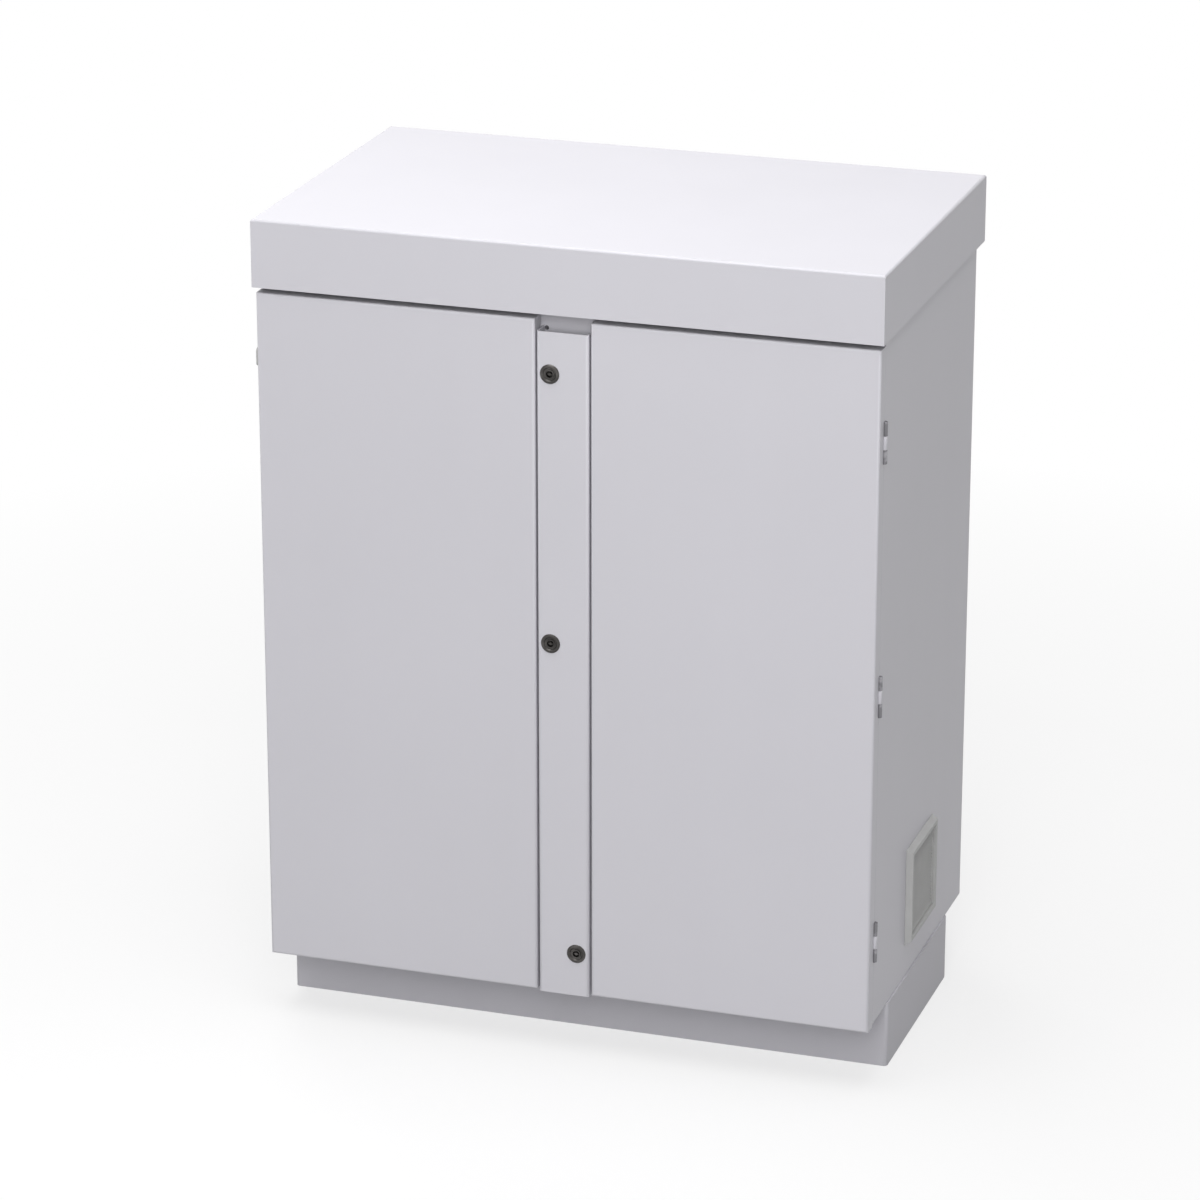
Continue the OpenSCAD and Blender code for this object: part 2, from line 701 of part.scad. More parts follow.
// Tongue hanging down from its lock, which is the open position
module lock_tongue(i) color(zinc) place() lock_at(i) translate([0, tongue_y + tongue_t, 0])
    rotate([90, 0, 0]) linear_extrude(tongue_t) difference() {
        union() {
            circle(tongue_w / 2);
            translate([-tongue_w / 2, -tongue_l + tip_r]) square([tongue_w, tongue_l - tip_r]);
            translate([-tongue_w / 2 + tip_r, -tongue_l]) square([tongue_w - 2 * tip_r, tongue_l]);
            for (s = [left, right])
                translate([s * (tongue_w / 2 - tip_r), -tongue_l + tip_r]) circle(tip_r);
        }
        square(stub_w + 2 * pin_clear, center = true);
    }

module tongue_screw(i) color(zinc) place() lock_at(i)
    translate([0, tongue_y + tongue_t, 0]) rotate([-90, 0, 0]) {
        cylinder(h = tongue_head_h, r = tongue_head_r);
        translate([0, 0, slip - screw_bore]) cylinder(h = screw_bore, r = screw_r);
    }

// Knuckle around the hinge axis
module knuckle(z0, z1) difference() {
    translate([axis_x, axis_y, z0]) cylinder(h = z1 - z0, r = knuckle_r);
    translate([axis_x, axis_y, z0 - eps]) cylinder(h = z1 - z0 + 2 * eps, r = pin_r + pin_clear);
}

// Plain part of a leaf, kept clear of the pin's bore
module leaf_web(y0, y1, z0, z1) difference() {
    span([inner_w - leaf_t, y0, z0], [inner_w, y1, z1]);
    translate([axis_x, axis_y, z0 - eps]) cylinder(h = z1 - z0 + 2 * eps, r = pin_r + pin_clear);
}

// Frame leaf: two outer knuckles on a plate welded to the jamb
module frame_leaf(side, i) color(steel) place() on_side(side) translate([0, 0, hinge_z[i]]) {
    for (s = [left, right]) {
        z0 = s > 0 ? middle_h / 2 : -hinge_h / 2;
        knuckle(z0, z0 + knuckle_h);
        leaf_web(axis_y - knuckle_r / 4, frame_y, z0, z0 + knuckle_h);
    }
    span([half_w - seal_out + slip, frame_y - leaf_t, -hinge_h / 2], [inner_w, frame_y, hinge_h / 2]);
}

// Door leaf: the middle knuckle on a plate welded inside the door's return
module door_leaf(side, i) color(paint) place() on_side(side) translate([0, 0, hinge_z[i]]) {
    knuckle(-middle_h / 2 + slip, middle_h / 2 - slip);
    leaf_web(axis_y - knuckle_r, axis_y + knuckle_r / 4, -middle_h / 2 + slip, middle_h / 2 - slip);
    span([inner_w - leaf_t, 2 * sheet_t, -hinge_h / 2], [inner_w, axis_y - knuckle_r, hinge_h / 2]);
}

module hinge_pins() color(steel) place() for (s = [left, right], z = hinge_z)
    translate([s * axis_x, axis_y, z - hinge_h / 2]) cylinder(h = hinge_h, r = pin_r);

// Door drawn for the right-hand side, with slots for the locks that hold it
module door(side) on_side(side) difference() {
    union() {
        translate([door_mid_x, 0, door_z0]) tray(door_w, door_h, door_d, sheet_t, fold_r);
        band(door_x0 + sheet_t - eps, inner_w + eps, door_z0 + sheet_t - eps, door_z1 - sheet_t + eps,
            door_d - sheet_t, door_d, lip_w);
    }
    hinge_notches();
    for (i = [0 : 2]) if (lock_side[i] == side) tongue_slot(door_x0, door_x0 + sheet_t, lock_z[i]);
}

module left_door() color(paint) place() door(left);

module right_door() color(paint) place() door(right);

// Hat-section stiffener welded to the inside of a door
module stiffener(side) color(paint) place() on_side(side)
    translate([door_mid_x, sheet_t, door_z0 + (door_h - stiffener_h) / 2]) linear_extrude(stiffener_h)
        difference() {
            union() {
                translate([-stiffener_w / 2, 0]) square([stiffener_w, stiffener_d]);
                translate([-stiffener_w / 2 - stiffener_flange, 0])
                    square([stiffener_w + 2 * stiffener_flange, sheet_t]);
            }
            translate([-stiffener_w / 2 + sheet_t, -eps])
                square([stiffener_w - 2 * sheet_t, stiffener_d - sheet_t + eps]);
        }

// Buffer on the outer edge of the left door
module door_buffer() color(plastic) place() on_side(left)
    translate([half_w, fold_r + buffer_w / 2, door_z1 - buffer_drop]) rotate([0, 90, 0])
        linear_extrude(buffer_proud) {
            square([buffer_h - buffer_w, buffer_w], center = true);
            for (s = [left, right]) translate([s * (buffer_h - buffer_w) / 2, 0]) circle(d = buffer_w);
        }

plinth();
plinth_bolts();
floor_pan();
gland_plate();
gland_screws();
cable_grommets();
left_side_panel();
right_side_panel();
back_panel();
top_panel();
top_rail();
bottom_rail();
left_jamb();
right_jamb();
centre_post();
post_screws();
hood();
hood_posts();
hood_nuts();
left_door_seal();
right_door_seal();
mounting_plate();
plate_standoffs();
plate_nuts();
earth_bar();
earth_screws();
vent_frame();
vent_grille();
vent_filter();
lock_housing(0);  // upper_lock_housing
lock_housing(1);  // middle_lock_housing
lock_housing(2);  // lower_lock_housing
lock_nuts();
lock_core(0);  // upper_lock_core
lock_core(1);  // middle_lock_core
lock_core(2);  // lower_lock_core
lock_tongue(0);  // upper_lock_tongue
lock_tongue(1);  // middle_lock_tongue
lock_tongue(2);  // lower_lock_tongue
tongue_screw(0);  // upper_tongue_screw
tongue_screw(1);  // middle_tongue_screw
tongue_screw(2);  // lower_tongue_screw
frame_leaf(left, 0);  // left_upper_frame_leaf
frame_leaf(left, 1);  // left_middle_frame_leaf
frame_leaf(left, 2);  // left_lower_frame_leaf
frame_leaf(right, 0);  // right_upper_frame_leaf
frame_leaf(right, 1);  // right_middle_frame_leaf
frame_leaf(right, 2);  // right_lower_frame_leaf
hinge_pins();
left_door();
stiffener(left);  // left_door_stiffener
door_buffer();
door_leaf(left, 0);  // left_upper_door_leaf
door_leaf(left, 1);  // left_middle_door_leaf
door_leaf(left, 2);  // left_lower_door_leaf
right_door();
stiffener(right);  // right_door_stiffener
door_leaf(right, 0);  // right_upper_door_leaf
door_leaf(right, 1);  // right_middle_door_leaf
door_leaf(right, 2);  // right_lower_door_leaf
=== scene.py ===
"""Looks of a roadside utility cabinet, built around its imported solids.

The solids carry the folded sheets, the hinge leaves and the moving pieces of the locks. This script
gives them their finishes, and makes the pieces whose real detail is finer than the solids: threaded
and recessed fasteners, louvres, seals, grommets and lock fronts. It also sets up the studio.
"""

import json
import logging
import math
from dataclasses import dataclass
from enum import Enum
from typing import Sequence, Union

import bmesh
import bpy
from mathutils import Matrix, Vector


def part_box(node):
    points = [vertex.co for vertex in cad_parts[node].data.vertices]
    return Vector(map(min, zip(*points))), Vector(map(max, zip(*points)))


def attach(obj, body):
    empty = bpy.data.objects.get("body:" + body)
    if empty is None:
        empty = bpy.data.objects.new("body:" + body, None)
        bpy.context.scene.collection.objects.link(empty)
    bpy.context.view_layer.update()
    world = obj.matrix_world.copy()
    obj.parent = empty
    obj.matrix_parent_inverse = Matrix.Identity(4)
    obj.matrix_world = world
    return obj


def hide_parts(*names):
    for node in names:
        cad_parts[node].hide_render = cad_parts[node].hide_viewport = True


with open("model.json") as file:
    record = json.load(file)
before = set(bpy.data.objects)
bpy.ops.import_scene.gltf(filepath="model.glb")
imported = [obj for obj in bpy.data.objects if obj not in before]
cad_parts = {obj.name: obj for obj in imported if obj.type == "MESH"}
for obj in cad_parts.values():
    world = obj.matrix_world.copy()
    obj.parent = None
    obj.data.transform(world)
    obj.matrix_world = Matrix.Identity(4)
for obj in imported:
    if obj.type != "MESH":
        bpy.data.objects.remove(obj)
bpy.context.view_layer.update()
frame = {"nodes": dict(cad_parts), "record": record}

MM = 0.001
LOG = logging.getLogger("cabinet")

Colour = tuple[float, float, float]
Point = tuple[float, float, float]
Operand = Union["Value", float]
Profile = tuple[tuple[float, float], ...]
Settings = dict[str, object]
Inputs = dict[str | int, object]

LEVELS = ("upper", "middle", "lower")


class Slot(Enum):
    """Material slots of the record."""

    PAINT = "paint"
    PLINTH_PAINT = "plinth_paint"
    ZINC = "zinc"
    GUNMETAL = "gunmetal"
    STEEL = "steel"
    RUBBER = "rubber"
    PLASTIC = "plastic"
    COPPER = "copper"
    FELT = "felt"


class Body(Enum):
    """Bodies of the mechanism."""

    CARCASS = "carcass"
    LEFT_DOOR = "left_door"
    RIGHT_DOOR = "right_door"
    UPPER_LOCK = "upper_lock"
    MIDDLE_LOCK = "middle_lock"
    LOWER_LOCK = "lower_lock"


class Outline(Enum):
    """Outlines that a ring of a turned shape can have."""

    ROUND = "round"
    HEX = "hex"
    LOBED = "lobed"
    THREAD = "thread"


class Turn(Enum):
    """Directions in which a shape drawn along +Z can point, as rotations in radians."""

    UP = (0.0, 0.0, 0.0)
    FRONT = (math.pi / 2, 0.0, 0.0)
    BACK = (-math.pi / 2, 0.0, 0.0)


# Shader expressions and finishes


class Value:
    """A shader value that takes part in Python arithmetic."""

    def __init__(self, tree: "ShaderTree", socket: bpy.types.NodeSocket) -> None:
        """Wraps an output socket of a tree."""
        self.tree = tree
        self.socket = socket

    def _math(self, operation: str, first: Operand, second: Operand) -> "Value":
        """Adds one Math node.

        Args:
            operation: The node's operation.
            first: Its first operand.
            second: Its second operand.

        Returns:
            The node's result.
        """
        result = self.tree.out("ShaderNodeMath", {0: first, 1: second}, {"operation": operation})
        return Value(self.tree, result)

    def __add__(self, other: Operand) -> "Value":
        """Adds a value or a number."""
        return self._math("ADD", self, other)

    def __radd__(self, other: Operand) -> "Value":
        """Adds this value to a number."""
        return self._math("ADD", other, self)

    def __sub__(self, other: Operand) -> "Value":
        """Subtracts a value or a number."""
        return self._math("SUBTRACT", self, other)

    def __rsub__(self, other: Operand) -> "Value":
        """Subtracts this value from a number."""
        return self._math("SUBTRACT", other, self)

    def __mul__(self, other: Operand) -> "Value":
        """Multiplies by a value or a number."""
        return self._math("MULTIPLY", self, other)

    def __rmul__(self, other: Operand) -> "Value":
        """Multiplies a number by this value."""
        return self._math("MULTIPLY", other, self)


class NodeTree:
    """A node tree that nodes are added to."""

    def __init__(self, tree: bpy.types.NodeTree) -> None:
        """Wraps a node tree."""
        self.tree = tree

    def node(
        self, kind: str, settings: Settings | None = None, inputs: Inputs | None = None
    ) -> bpy.types.Node:
        """Adds a node.

        Args:
            kind: The node's type.
            settings: Its properties; "stops" are a ramp's places and grey levels.
            inputs: Values or links for its sockets, by name or index.

        Returns:
            The new node.
        """
        node = self.tree.nodes.new(kind)
        for name, setting in (settings or {}).items():
            if name == "stops":
                for element, (place, level) in zip(node.color_ramp.elements, setting):
                    element.position = place
                    element.color = (level, level, level, 1.0)
            else:
                setattr(node, name, setting)
        for key, value in (inputs or {}).items():
            self.feed(node.inputs[key], value)
        return node

    def out(
        self, kind: str, inputs: Inputs, settings: Settings | None = None, output: str | int = 0
    ) -> bpy.types.NodeSocket:
        """Adds a node, as node() does, and gives one of its outputs, by name or index."""
        return self.node(kind, settings, inputs).outputs[output]

    def feed(self, socket: bpy.types.NodeSocket, value: object) -> None:
        """Links a socket or sets its value.

        Args:
            socket: The input to feed.
            value: A Value, an output socket or a plain number, colour or vector.
        """
        source = value.socket if isinstance(value, Value) else value
        if isinstance(source, bpy.types.NodeSocket):
            self.tree.links.new(source, socket)
        else:
            socket.default_value = source


class ShaderTree(NodeTree):
    """A shader node tree."""

    # Sockets of a Mix node for colours
    MIX_A = 6
    MIX_B = 7
    MIX_RESULT = 2

    def blend(self, factor: Operand, first: object, second: object) -> bpy.types.NodeSocket:
        """Mixes two colours.

        Args:
            factor: Share of the second colour.
            first: Colour or link.
            second: Colour or link.

        Returns:
            The mixed colour's socket.
        """
        inputs = {0: factor, self.MIX_A: first, self.MIX_B: second}
        return self.out("ShaderNodeMix", inputs, {"data_type": "RGBA"}, self.MIX_RESULT)

    def in_view(self) -> Value:
        """1 for rays from the camera, also by gloss or through glass, and 0 for the rest."""
        path = self.node("ShaderNodeLightPath").outputs
        straight, glossy, clear = (
            Value(self, path[f"Is {ray} Ray"]) for ray in ("Camera", "Glossy", "Transmission")
        )
        return straight + glossy + clear

    def show(
        self, share: Value, first: bpy.types.ShaderNode, second: bpy.types.ShaderNode, output: str
    ) -> None:
        """Ends the tree in a mix of two shaders.

        Args:
            share: Share of the second shader.
            first: Shader node.
            second: Shader node.
            output: Name of the tree's output node.
        """
        mix = self.out("ShaderNodeMixShader", {0: share, 1: first.outputs[0], 2: second.outputs[0]})
        self.feed(self.tree.nodes[output].inputs["Surface"], mix)


class FinishTree(ShaderTree):
    """The node tree of one finish, with the few patterns that the finishes share."""

    def __init__(self, name: str) -> None:
        """Makes a material with an empty Principled shader.

        Args:
            name: Name of the material.
        """
        self.material = bpy.data.materials.new(name)
        self.material.use_nodes = True
        super().__init__(self.material.node_tree)
        self.shader = self.tree.nodes["Principled BSDF"]
        self.place = self.node("ShaderNodeTexCoord").outputs["Object"]

    def surface(self, **inputs: object) -> None:
        """Feeds the shader; names are written with _ for a space."""
        for name, value in inputs.items():
            self.feed(self.shader.inputs[name.replace("_", " ").title()], value)

    def stretched(self, scale: Point) -> bpy.types.NodeSocket:
        """Object coordinates with a scale along each axis."""
        return self.out("ShaderNodeMapping", {"Vector": self.place, "Scale": scale})

    def noise(self, scale: float, detail: float = 2.0, stretch: Point = (1.0, 1.0, 1.0)) -> Value:
        """Smooth noise from 0 to 1.

        Args:
            scale: Cells per metre.
            detail: Octaves of finer noise.
            stretch: Extra scale along each axis.

        Returns:
            The noise.
        """
        inputs = {"Vector": self.stretched(stretch), "Scale": scale, "Detail": detail}
        return Value(self, self.out("ShaderNodeTexNoise", inputs, {"noise_dimensions": "3D"}))

    def crystals(self, scale: float) -> Value:
        """A random level for each cell of a Voronoi pattern, as in zinc spangle.

        Args:
            scale: Cells per metre.

        Returns:
            The level, from 0 to 1.
        """
        inputs = {"Vector": self.place, "Scale": scale}
        cells = self.out("ShaderNodeTexVoronoi", inputs, {"feature": "F1"}, "Color")
        return Value(self, self.out("ShaderNodeSeparateColor", {0: cells}))

    def sharpen(self, value: Value, low: float, high: float) -> Value:
        """Stretches the range between two levels over 0 to 1."""
        ends = {"stops": ((low, 0.0), (high, 1.0))}
        return Value(self, self.out("ShaderNodeValToRGB", {0: value}, ends))

    def tinted(self, factor: Value, colour: Colour, low: float, high: float) -> bpy.types.NodeSocket:
        """A colour between two levels of itself, by a factor from 0 to 1."""
        return self.blend(factor, shade(colour, low), shade(colour, high))

    def relief(self, height: Value, depth: float) -> bpy.types.NodeSocket:
        """A bumped normal.

        Args:
            height: Height from 0 to 1.
            depth: What a height of 1 stands for, in metres.

        Returns:
            The normal's socket.
        """
        return self.out("ShaderNodeBump", {"Strength": 1.0, "Distance": depth, "Height": height})


def shade(colour: Colour, level: float = 1.0) -> tuple[float, float, float, float]:
    """A colour made lighter or darker.

    Args:
        colour: Linear colour.
        level: Factor on it.

    Returns:
        The colour with an alpha of 1.
    """
    return tuple(min(1.0, channel * level) for channel in colour) + (1.0,)


class Finish:
    """A finish, which paints the node tree of its own material."""

    def paint(self, tree: FinishTree) -> None:
        """Adds the finish's patterns to a tree.

        Args:
            tree: Tree of the new material.
        """
        raise NotImplementedError

    def material(self, slot: Slot) -> bpy.types.Material:
        """Makes the finish's material.

        Args:
            slot: Material slot that it stands for, and is named after.

        Returns:
            The material.
        """
        tree = FinishTree(slot.value)
        self.paint(tree)
        return tree.material


@dataclass(frozen=True)
class PowderCoat(Finish):
    """Satin powder coat with orange peel, faint clouding and a little dust grain."""

    colour: Colour
    gloss: float = 0.46
    clouding: float = 0.02
    cloud_scale: float = 3.2
    run_scale: float = 9.0
    grain_scale: float = 1500.0
    peel_scale: float = 620.0
    peel_depth: float = 0.035 * MM

    def paint(self, tree: FinishTree) -> None:
        """Clouds the colour and the gloss, and raises the peel.

        Args:
            tree: Tree of the new material.
        """
        clouds = tree.noise(self.cloud_scale, 3.0)
        runs = tree.noise(self.run_scale, 2.0, (1.0, 1.0, 0.08))
        grain = tree.noise(self.grain_scale, 1.0)
        level = tree.sharpen(0.5 * clouds + 0.3 * runs + 0.2 * grain, 0.3, 0.7)
        peel = tree.noise(self.peel_scale, 2.0)
        tree.surface(
            base_color=tree.tinted(level, self.colour, 1.0 - self.clouding, 1.0 + self.clouding),
            roughness=self.gloss + 0.08 * (clouds - 0.5) + 0.05 * (grain - 0.5),
            normal=tree.relief(peel, self.peel_depth),
        )


@dataclass(frozen=True)
class Galvanised(Finish):
    """Zinc coat with spangle and a dull bloom."""

    colour: Colour
    spangle_scale: float = 85.0
    bloom_scale: float = 16.0
    scratch_scale: float = 240.0
    depth: float = 0.04 * MM

    def paint(self, tree: FinishTree) -> None:
        """Varies colour, sheen and relief with the spangle and the bloom.

        Args:
            tree: Tree of the new material.
        """
        spangle = tree.crystals(self.spangle_scale)
        bloom = tree.sharpen(tree.noise(self.bloom_scale, 4.0), 0.35, 0.75)
        scratches = tree.noise(self.scratch_scale, 2.0, (1.0, 1.0, 0.05))
        tree.surface(
            base_color=tree.tinted(0.6 * spangle + 0.4 * bloom, self.colour, 0.78, 1.15),
            metallic=0.85 - 0.25 * bloom,
            roughness=0.34 + 0.16 * spangle + 0.14 * bloom,
            normal=tree.relief(0.7 * spangle + 0.3 * scratches, self.depth),
        )


@dataclass(frozen=True)
class DarkMetal(Finish):
    """Blackened metal with fine turning marks and brighter rubbed spots."""

    colour: Colour
    roughness: float
    rub_scale: float = 70.0
    mark_scale: float = 900.0
    depth: float = 0.02 * MM

    def paint(self, tree: FinishTree) -> None:
        """Brightens and smooths the rubbed spots, and raises the marks.

        Args:
            tree: Tree of the new material.
        """
        rubbed = tree.sharpen(tree.noise(self.rub_scale, 4.0), 0.5, 0.8)
        marks = tree.noise(self.mark_scale, 2.0, (1.0, 0.2, 1.0))
        tree.surface(
            base_color=tree.tinted(rubbed, self.colour, 0.8, 1.9),
            metallic=0.9,
            roughness=self.roughness + 0.12 * marks - 0.08 * rubbed,
            normal=tree.relief(marks, self.depth),
        )


@dataclass(frozen=True)
class Rubber(Finish):
    """Matt black rubber with bloom and fine pores."""

    colour: Colour
    bloom_scale: float = 45.0
    pore_scale: float = 1900.0
    depth: float = 0.05 * MM

    def paint(self, tree: FinishTree) -> None:
        """Greys the bloom, and raises the pores.

        Args:
            tree: Tree of the new material.
        """
        bloom = tree.sharpen(tree.noise(self.bloom_scale, 4.0), 0.35, 0.8)
        pores = tree.noise(self.pore_scale, 2.0)
        tree.surface(
            base_color=tree.tinted(bloom, self.colour, 0.85, 1.8),
            roughness=0.62 + 0.14 * bloom,
            normal=tree.relief(pores, self.depth),
        )


@dataclass(frozen=True)
class MouldedPlastic(Finish):
    """Moulded grey plastic with an eroded grain, slightly chalked by weather."""

    colour: Colour
    chalk_scale: float = 22.0
    grain_scale: float = 1400.0
    depth: float = 0.04 * MM

    def paint(self, tree: FinishTree) -> None:
        """Chalks the colour and the gloss, and raises the grain.

        Args:
            tree: Tree of the new material.
        """
        chalk = tree.sharpen(tree.noise(self.chalk_scale, 4.0), 0.35, 0.75)
        grain = tree.noise(self.grain_scale, 3.0)
        tree.surface(
            base_color=tree.tinted(chalk, self.colour, 0.95, 1.05),
            roughness=0.5 + 0.1 * chalk + 0.05 * grain,
            normal=tree.relief(grain, self.depth),
        )


@dataclass(frozen=True)
class DrawnCopper(Finish):
    """Drawn copper bar with lengthwise marks and brown tarnish."""

    colour: Colour
    tarnish: Colour
    mark_scale: float = 900.0
    stain_scale: float = 55.0
    depth: float = 0.03 * MM

    def paint(self, tree: FinishTree) -> None:
        """Stains the bar, and raises the drawing marks.

        Args:
            tree: Tree of the new material.
        """
        marks = tree.noise(self.mark_scale, 2.0, (0.04, 1.0, 1.0))
        stain = tree.sharpen(tree.noise(self.stain_scale, 5.0), 0.45, 0.8)
        tree.surface(
            base_color=tree.blend(0.75 * stain, shade(self.colour), shade(self.tarnish)),
            metallic=1.0,
            roughness=0.26 + 0.2 * stain + 0.1 * marks,
            normal=tree.relief(marks, self.depth),
        )


@dataclass(frozen=True)
class FilterFelt(Finish):
    """Non-woven filter mat: tangled pale fibres, with painted shade in the hollows between them."""

    colour: Colour
    fibre_scale: float = 420.0
    depth: float = 0.6 * MM

    def paint(self, tree: FinishTree) -> None:
        """Tangles two directions of fibres, with painted shade in the hollows between them.

        Args:
            tree: Tree of the new material.
        """
        upright = tree.noise(self.fibre_scale, 5.0, (1.0, 1.0, 0.35))
        level = tree.noise(self.fibre_scale, 5.0, (1.0, 0.35, 1.0))
        strands = tree.sharpen(upright * level, 0.12, 0.4)
        # The colour follows the relief: darker where the fibres lie low, as painted shade.
        tree.surface(
            base_color=tree.tinted(strands, self.colour, 0.6, 1.05),
            roughness=0.95 - 0.1 * strands,
            normal=tree.relief(strands, self.depth),
        )


FINISHES: dict[Slot, Finish] = {
    Slot.PAINT: PowderCoat((0.612, 0.603, 0.645)),
    # Plinth paint: a darker copy of the body paint, partly a paint of its own and partly painted shade
    # for the low plinth, which gets less light.
    Slot.PLINTH_PAINT: PowderCoat((0.545, 0.537, 0.575), gloss=0.52, clouding=0.03),
    Slot.ZINC: Galvanised((0.50, 0.52, 0.53)),
    Slot.GUNMETAL: DarkMetal((0.085, 0.080, 0.077), 0.30),
    Slot.STEEL: DarkMetal((0.33, 0.325, 0.345), 0.58),
    Slot.RUBBER: Rubber((0.022, 0.022, 0.023)),
    Slot.PLASTIC: MouldedPlastic((0.49, 0.49, 0.488)),
    Slot.COPPER: DrawnCopper((0.78, 0.40, 0.23), (0.30, 0.15, 0.09)),
    Slot.FELT: FilterFelt((0.70, 0.70, 0.66)),
}
MATERIALS: dict[Slot, bpy.types.Material] = {
    slot: finish.material(slot) for slot, finish in FINISHES.items()
}


# Turned shapes


@dataclass(frozen=True)
class Ring:
    """One ring of a turned shape.

    For a hexagon the radius is half the width across flats, and limit rounds its corners off.
    For a thread the radius is the crest's and limit is the pitch.
    """

    height: float
    radius: float
    outline: Outline = Outline.ROUND
    limit: float = 1.0

    def reach(self, angle: float) -> float:
        """Radius in one direction.

        Args:
            angle: Direction in radians.

        Returns:
            Distance from the axis.
        """
        if self.outline is Outline.HEX:
            off_flat = (angle + math.pi / 6) % (math.pi / 3) - math.pi / 6
            return min(self.limit, self.radius / math.cos(off_flat))
        if self.outline is Outline.LOBED:
            return self.radius * (1.0 + 0.13 * math.cos(6 * angle))
        if self.outline is Outline.THREAD:
            phase = (self.height / self.limit - angle / math.tau) % 1.0
            return self.radius - 0.6 * self.limit * (1.0 - abs(2.0 * phase - 1.0))
        return self.radius

    def point(self, angle: float) -> Point:
        """The ring's point in one direction, in radians."""
        reach = self.reach(angle)
        return reach * math.cos(angle), reach * math.sin(angle), self.height


CREASE = math.radians(35.0)
SHARP = math.radians(50.0)
MERGE = 0.001 * MM

# Profiles, as shares of a height and a radius
PAN_HEAD: Profile = ((0.0, 0.97), (0.08, 1.0), (0.45, 0.99), (0.72, 0.9), (0.92, 0.72), (1.0, 0.52))
PAN_RECESS: Profile = ((1.0, 1.0), (0.9, 0.94), (0.35, 0.9), (0.25, 0.0))
BOLT_COLLAR: Profile = ((0.0, 0.95), (0.1, 0.95))
BOLT_CROWN: Profile = ((1.0, 0.94), (1.0, 0.6), (0.93, 0.5), (0.93, 0.0))


def lofted(name: str, loops: Sequence[Sequence[Point]], hollow: bool = False) -> bpy.types.Mesh:
    """Joins loops of points into a closed shape that is smooth except across sharp edges.

    Args:
        name: Name of the mesh.
        loops: Loops in order, with the same number of points each.
        hollow: Joins the last loop to the first, for a shape with a bore.

    Returns:
        The mesh, with its faces outwards.
    """
    shape = bmesh.new()
    rows = [[shape.verts.new(point) for point in loop] for loop in loops]
    pairs = list(zip(rows, rows[1:])) + ([(rows[-1], rows[0])] if hollow else [])
    for low, high in pairs:
        for i in range(len(low)):
            j = (i + 1) % len(low)
            shape.faces.new((low[i], low[j], high[j], high[i]))
    bmesh.ops.remove_doubles(shape, verts=shape.verts, dist=MERGE)
    bmesh.ops.recalc_face_normals(shape, faces=shape.faces)
    for face in shape.faces:
        face.smooth = True
    for edge in shape.edges:
        edge.smooth = edge.is_manifold and edge.calc_face_angle(0.0) < CREASE
    mesh = bpy.data.meshes.new(name)
    shape.to_mesh(mesh)
    shape.free()
    return mesh


def turned(name: str, rings: Sequence[Ring], segments: int = 36, hollow: bool = False) -> bpy.types.Mesh:
    """Makes a closed shape from rings around Z.

    Args:
        name: Name of the mesh.
        rings: Rings in order along the profile; a radius of 0 ends in a pole.
        segments: Points around a ring.
        hollow: Joins the last ring to the first, for a shape with a bore.

    Returns:
        The mesh, with its faces outwards.
    """
    angles = [math.tau * i / segments for i in range(segments)]
    return lofted(name, [[ring.point(angle) for angle in angles] for ring in rings], hollow)


def profile(
    shares: Profile, height: float, radius: float, outline: Outline = Outline.ROUND
) -> list[Ring]:
    """Rings from shares of a height and a radius.

    Args:
        shares: Share of the height and of the radius for each ring.
        height: The whole height.
        radius: The whole radius.
        outline: Outline of all the rings.

    Returns:
        The rings.
    """
    return [Ring(rise * height, reach * radius, outline) for rise, reach in shares]


def threaded(low: float, high: float, radius: float, pitch: float) -> list[Ring]:
    """Rings of a screw thread.

    Args:
        low: Height of its lower end.
        high: Height of its upper end.
        radius: Radius at the crests.
        pitch: Height of one turn.

    Returns:
        Rings four to a turn.
    """
    count = max(4, round(4 * (high - low) / pitch))
    return [Ring(low + (high - low) * i / count, radius, Outline.THREAD, pitch) for i in range(count + 1)]


def shank(low: float, high: float, radius: float, pitch: float, tip: float = 0.75) -> list[Ring]:
    """Rings of a threaded shank with a chamfered tip.

    Args:
        low: Height of its tip.
        high: Height of its other end.
        radius: Radius at the crests.
        pitch: Height of one turn.
        tip: Share of the radius that the tip keeps.

    Returns:
        The rings.
    """
    start, stop = low + (1.0 - tip) * radius, high - 0.1 * radius
    thread = threaded(start, stop, radius, pitch)
    return [Ring(low, 0.0), Ring(low, tip * radius), *thread, Ring(high, radius)]


@dataclass(frozen=True)
class ScrewSize:
    """Sizes of a pan-head screw with a six-lobed recess."""

    head_r: float
    head: float
    shank_r: float
    recess: float = 0.46
    tip: float = 0.6
    pitch: float = 0.32

    def mesh(self, name: str, length: float) -> bpy.types.Mesh:
        """Makes the screw, its head on z = 0 and its shank below.

        Args:
            name: Name of the mesh.
            length: Length of the shank.

        Returns:
            The mesh.
        """
        rings = [
            *shank(-length, 0.0, self.shank_r, self.pitch * self.shank_r, self.tip),
            *profile(PAN_HEAD, self.head, self.head_r),
            *profile(PAN_RECESS, self.head, self.recess * self.head_r, Outline.LOBED),
        ]
        return turned(name, rings)


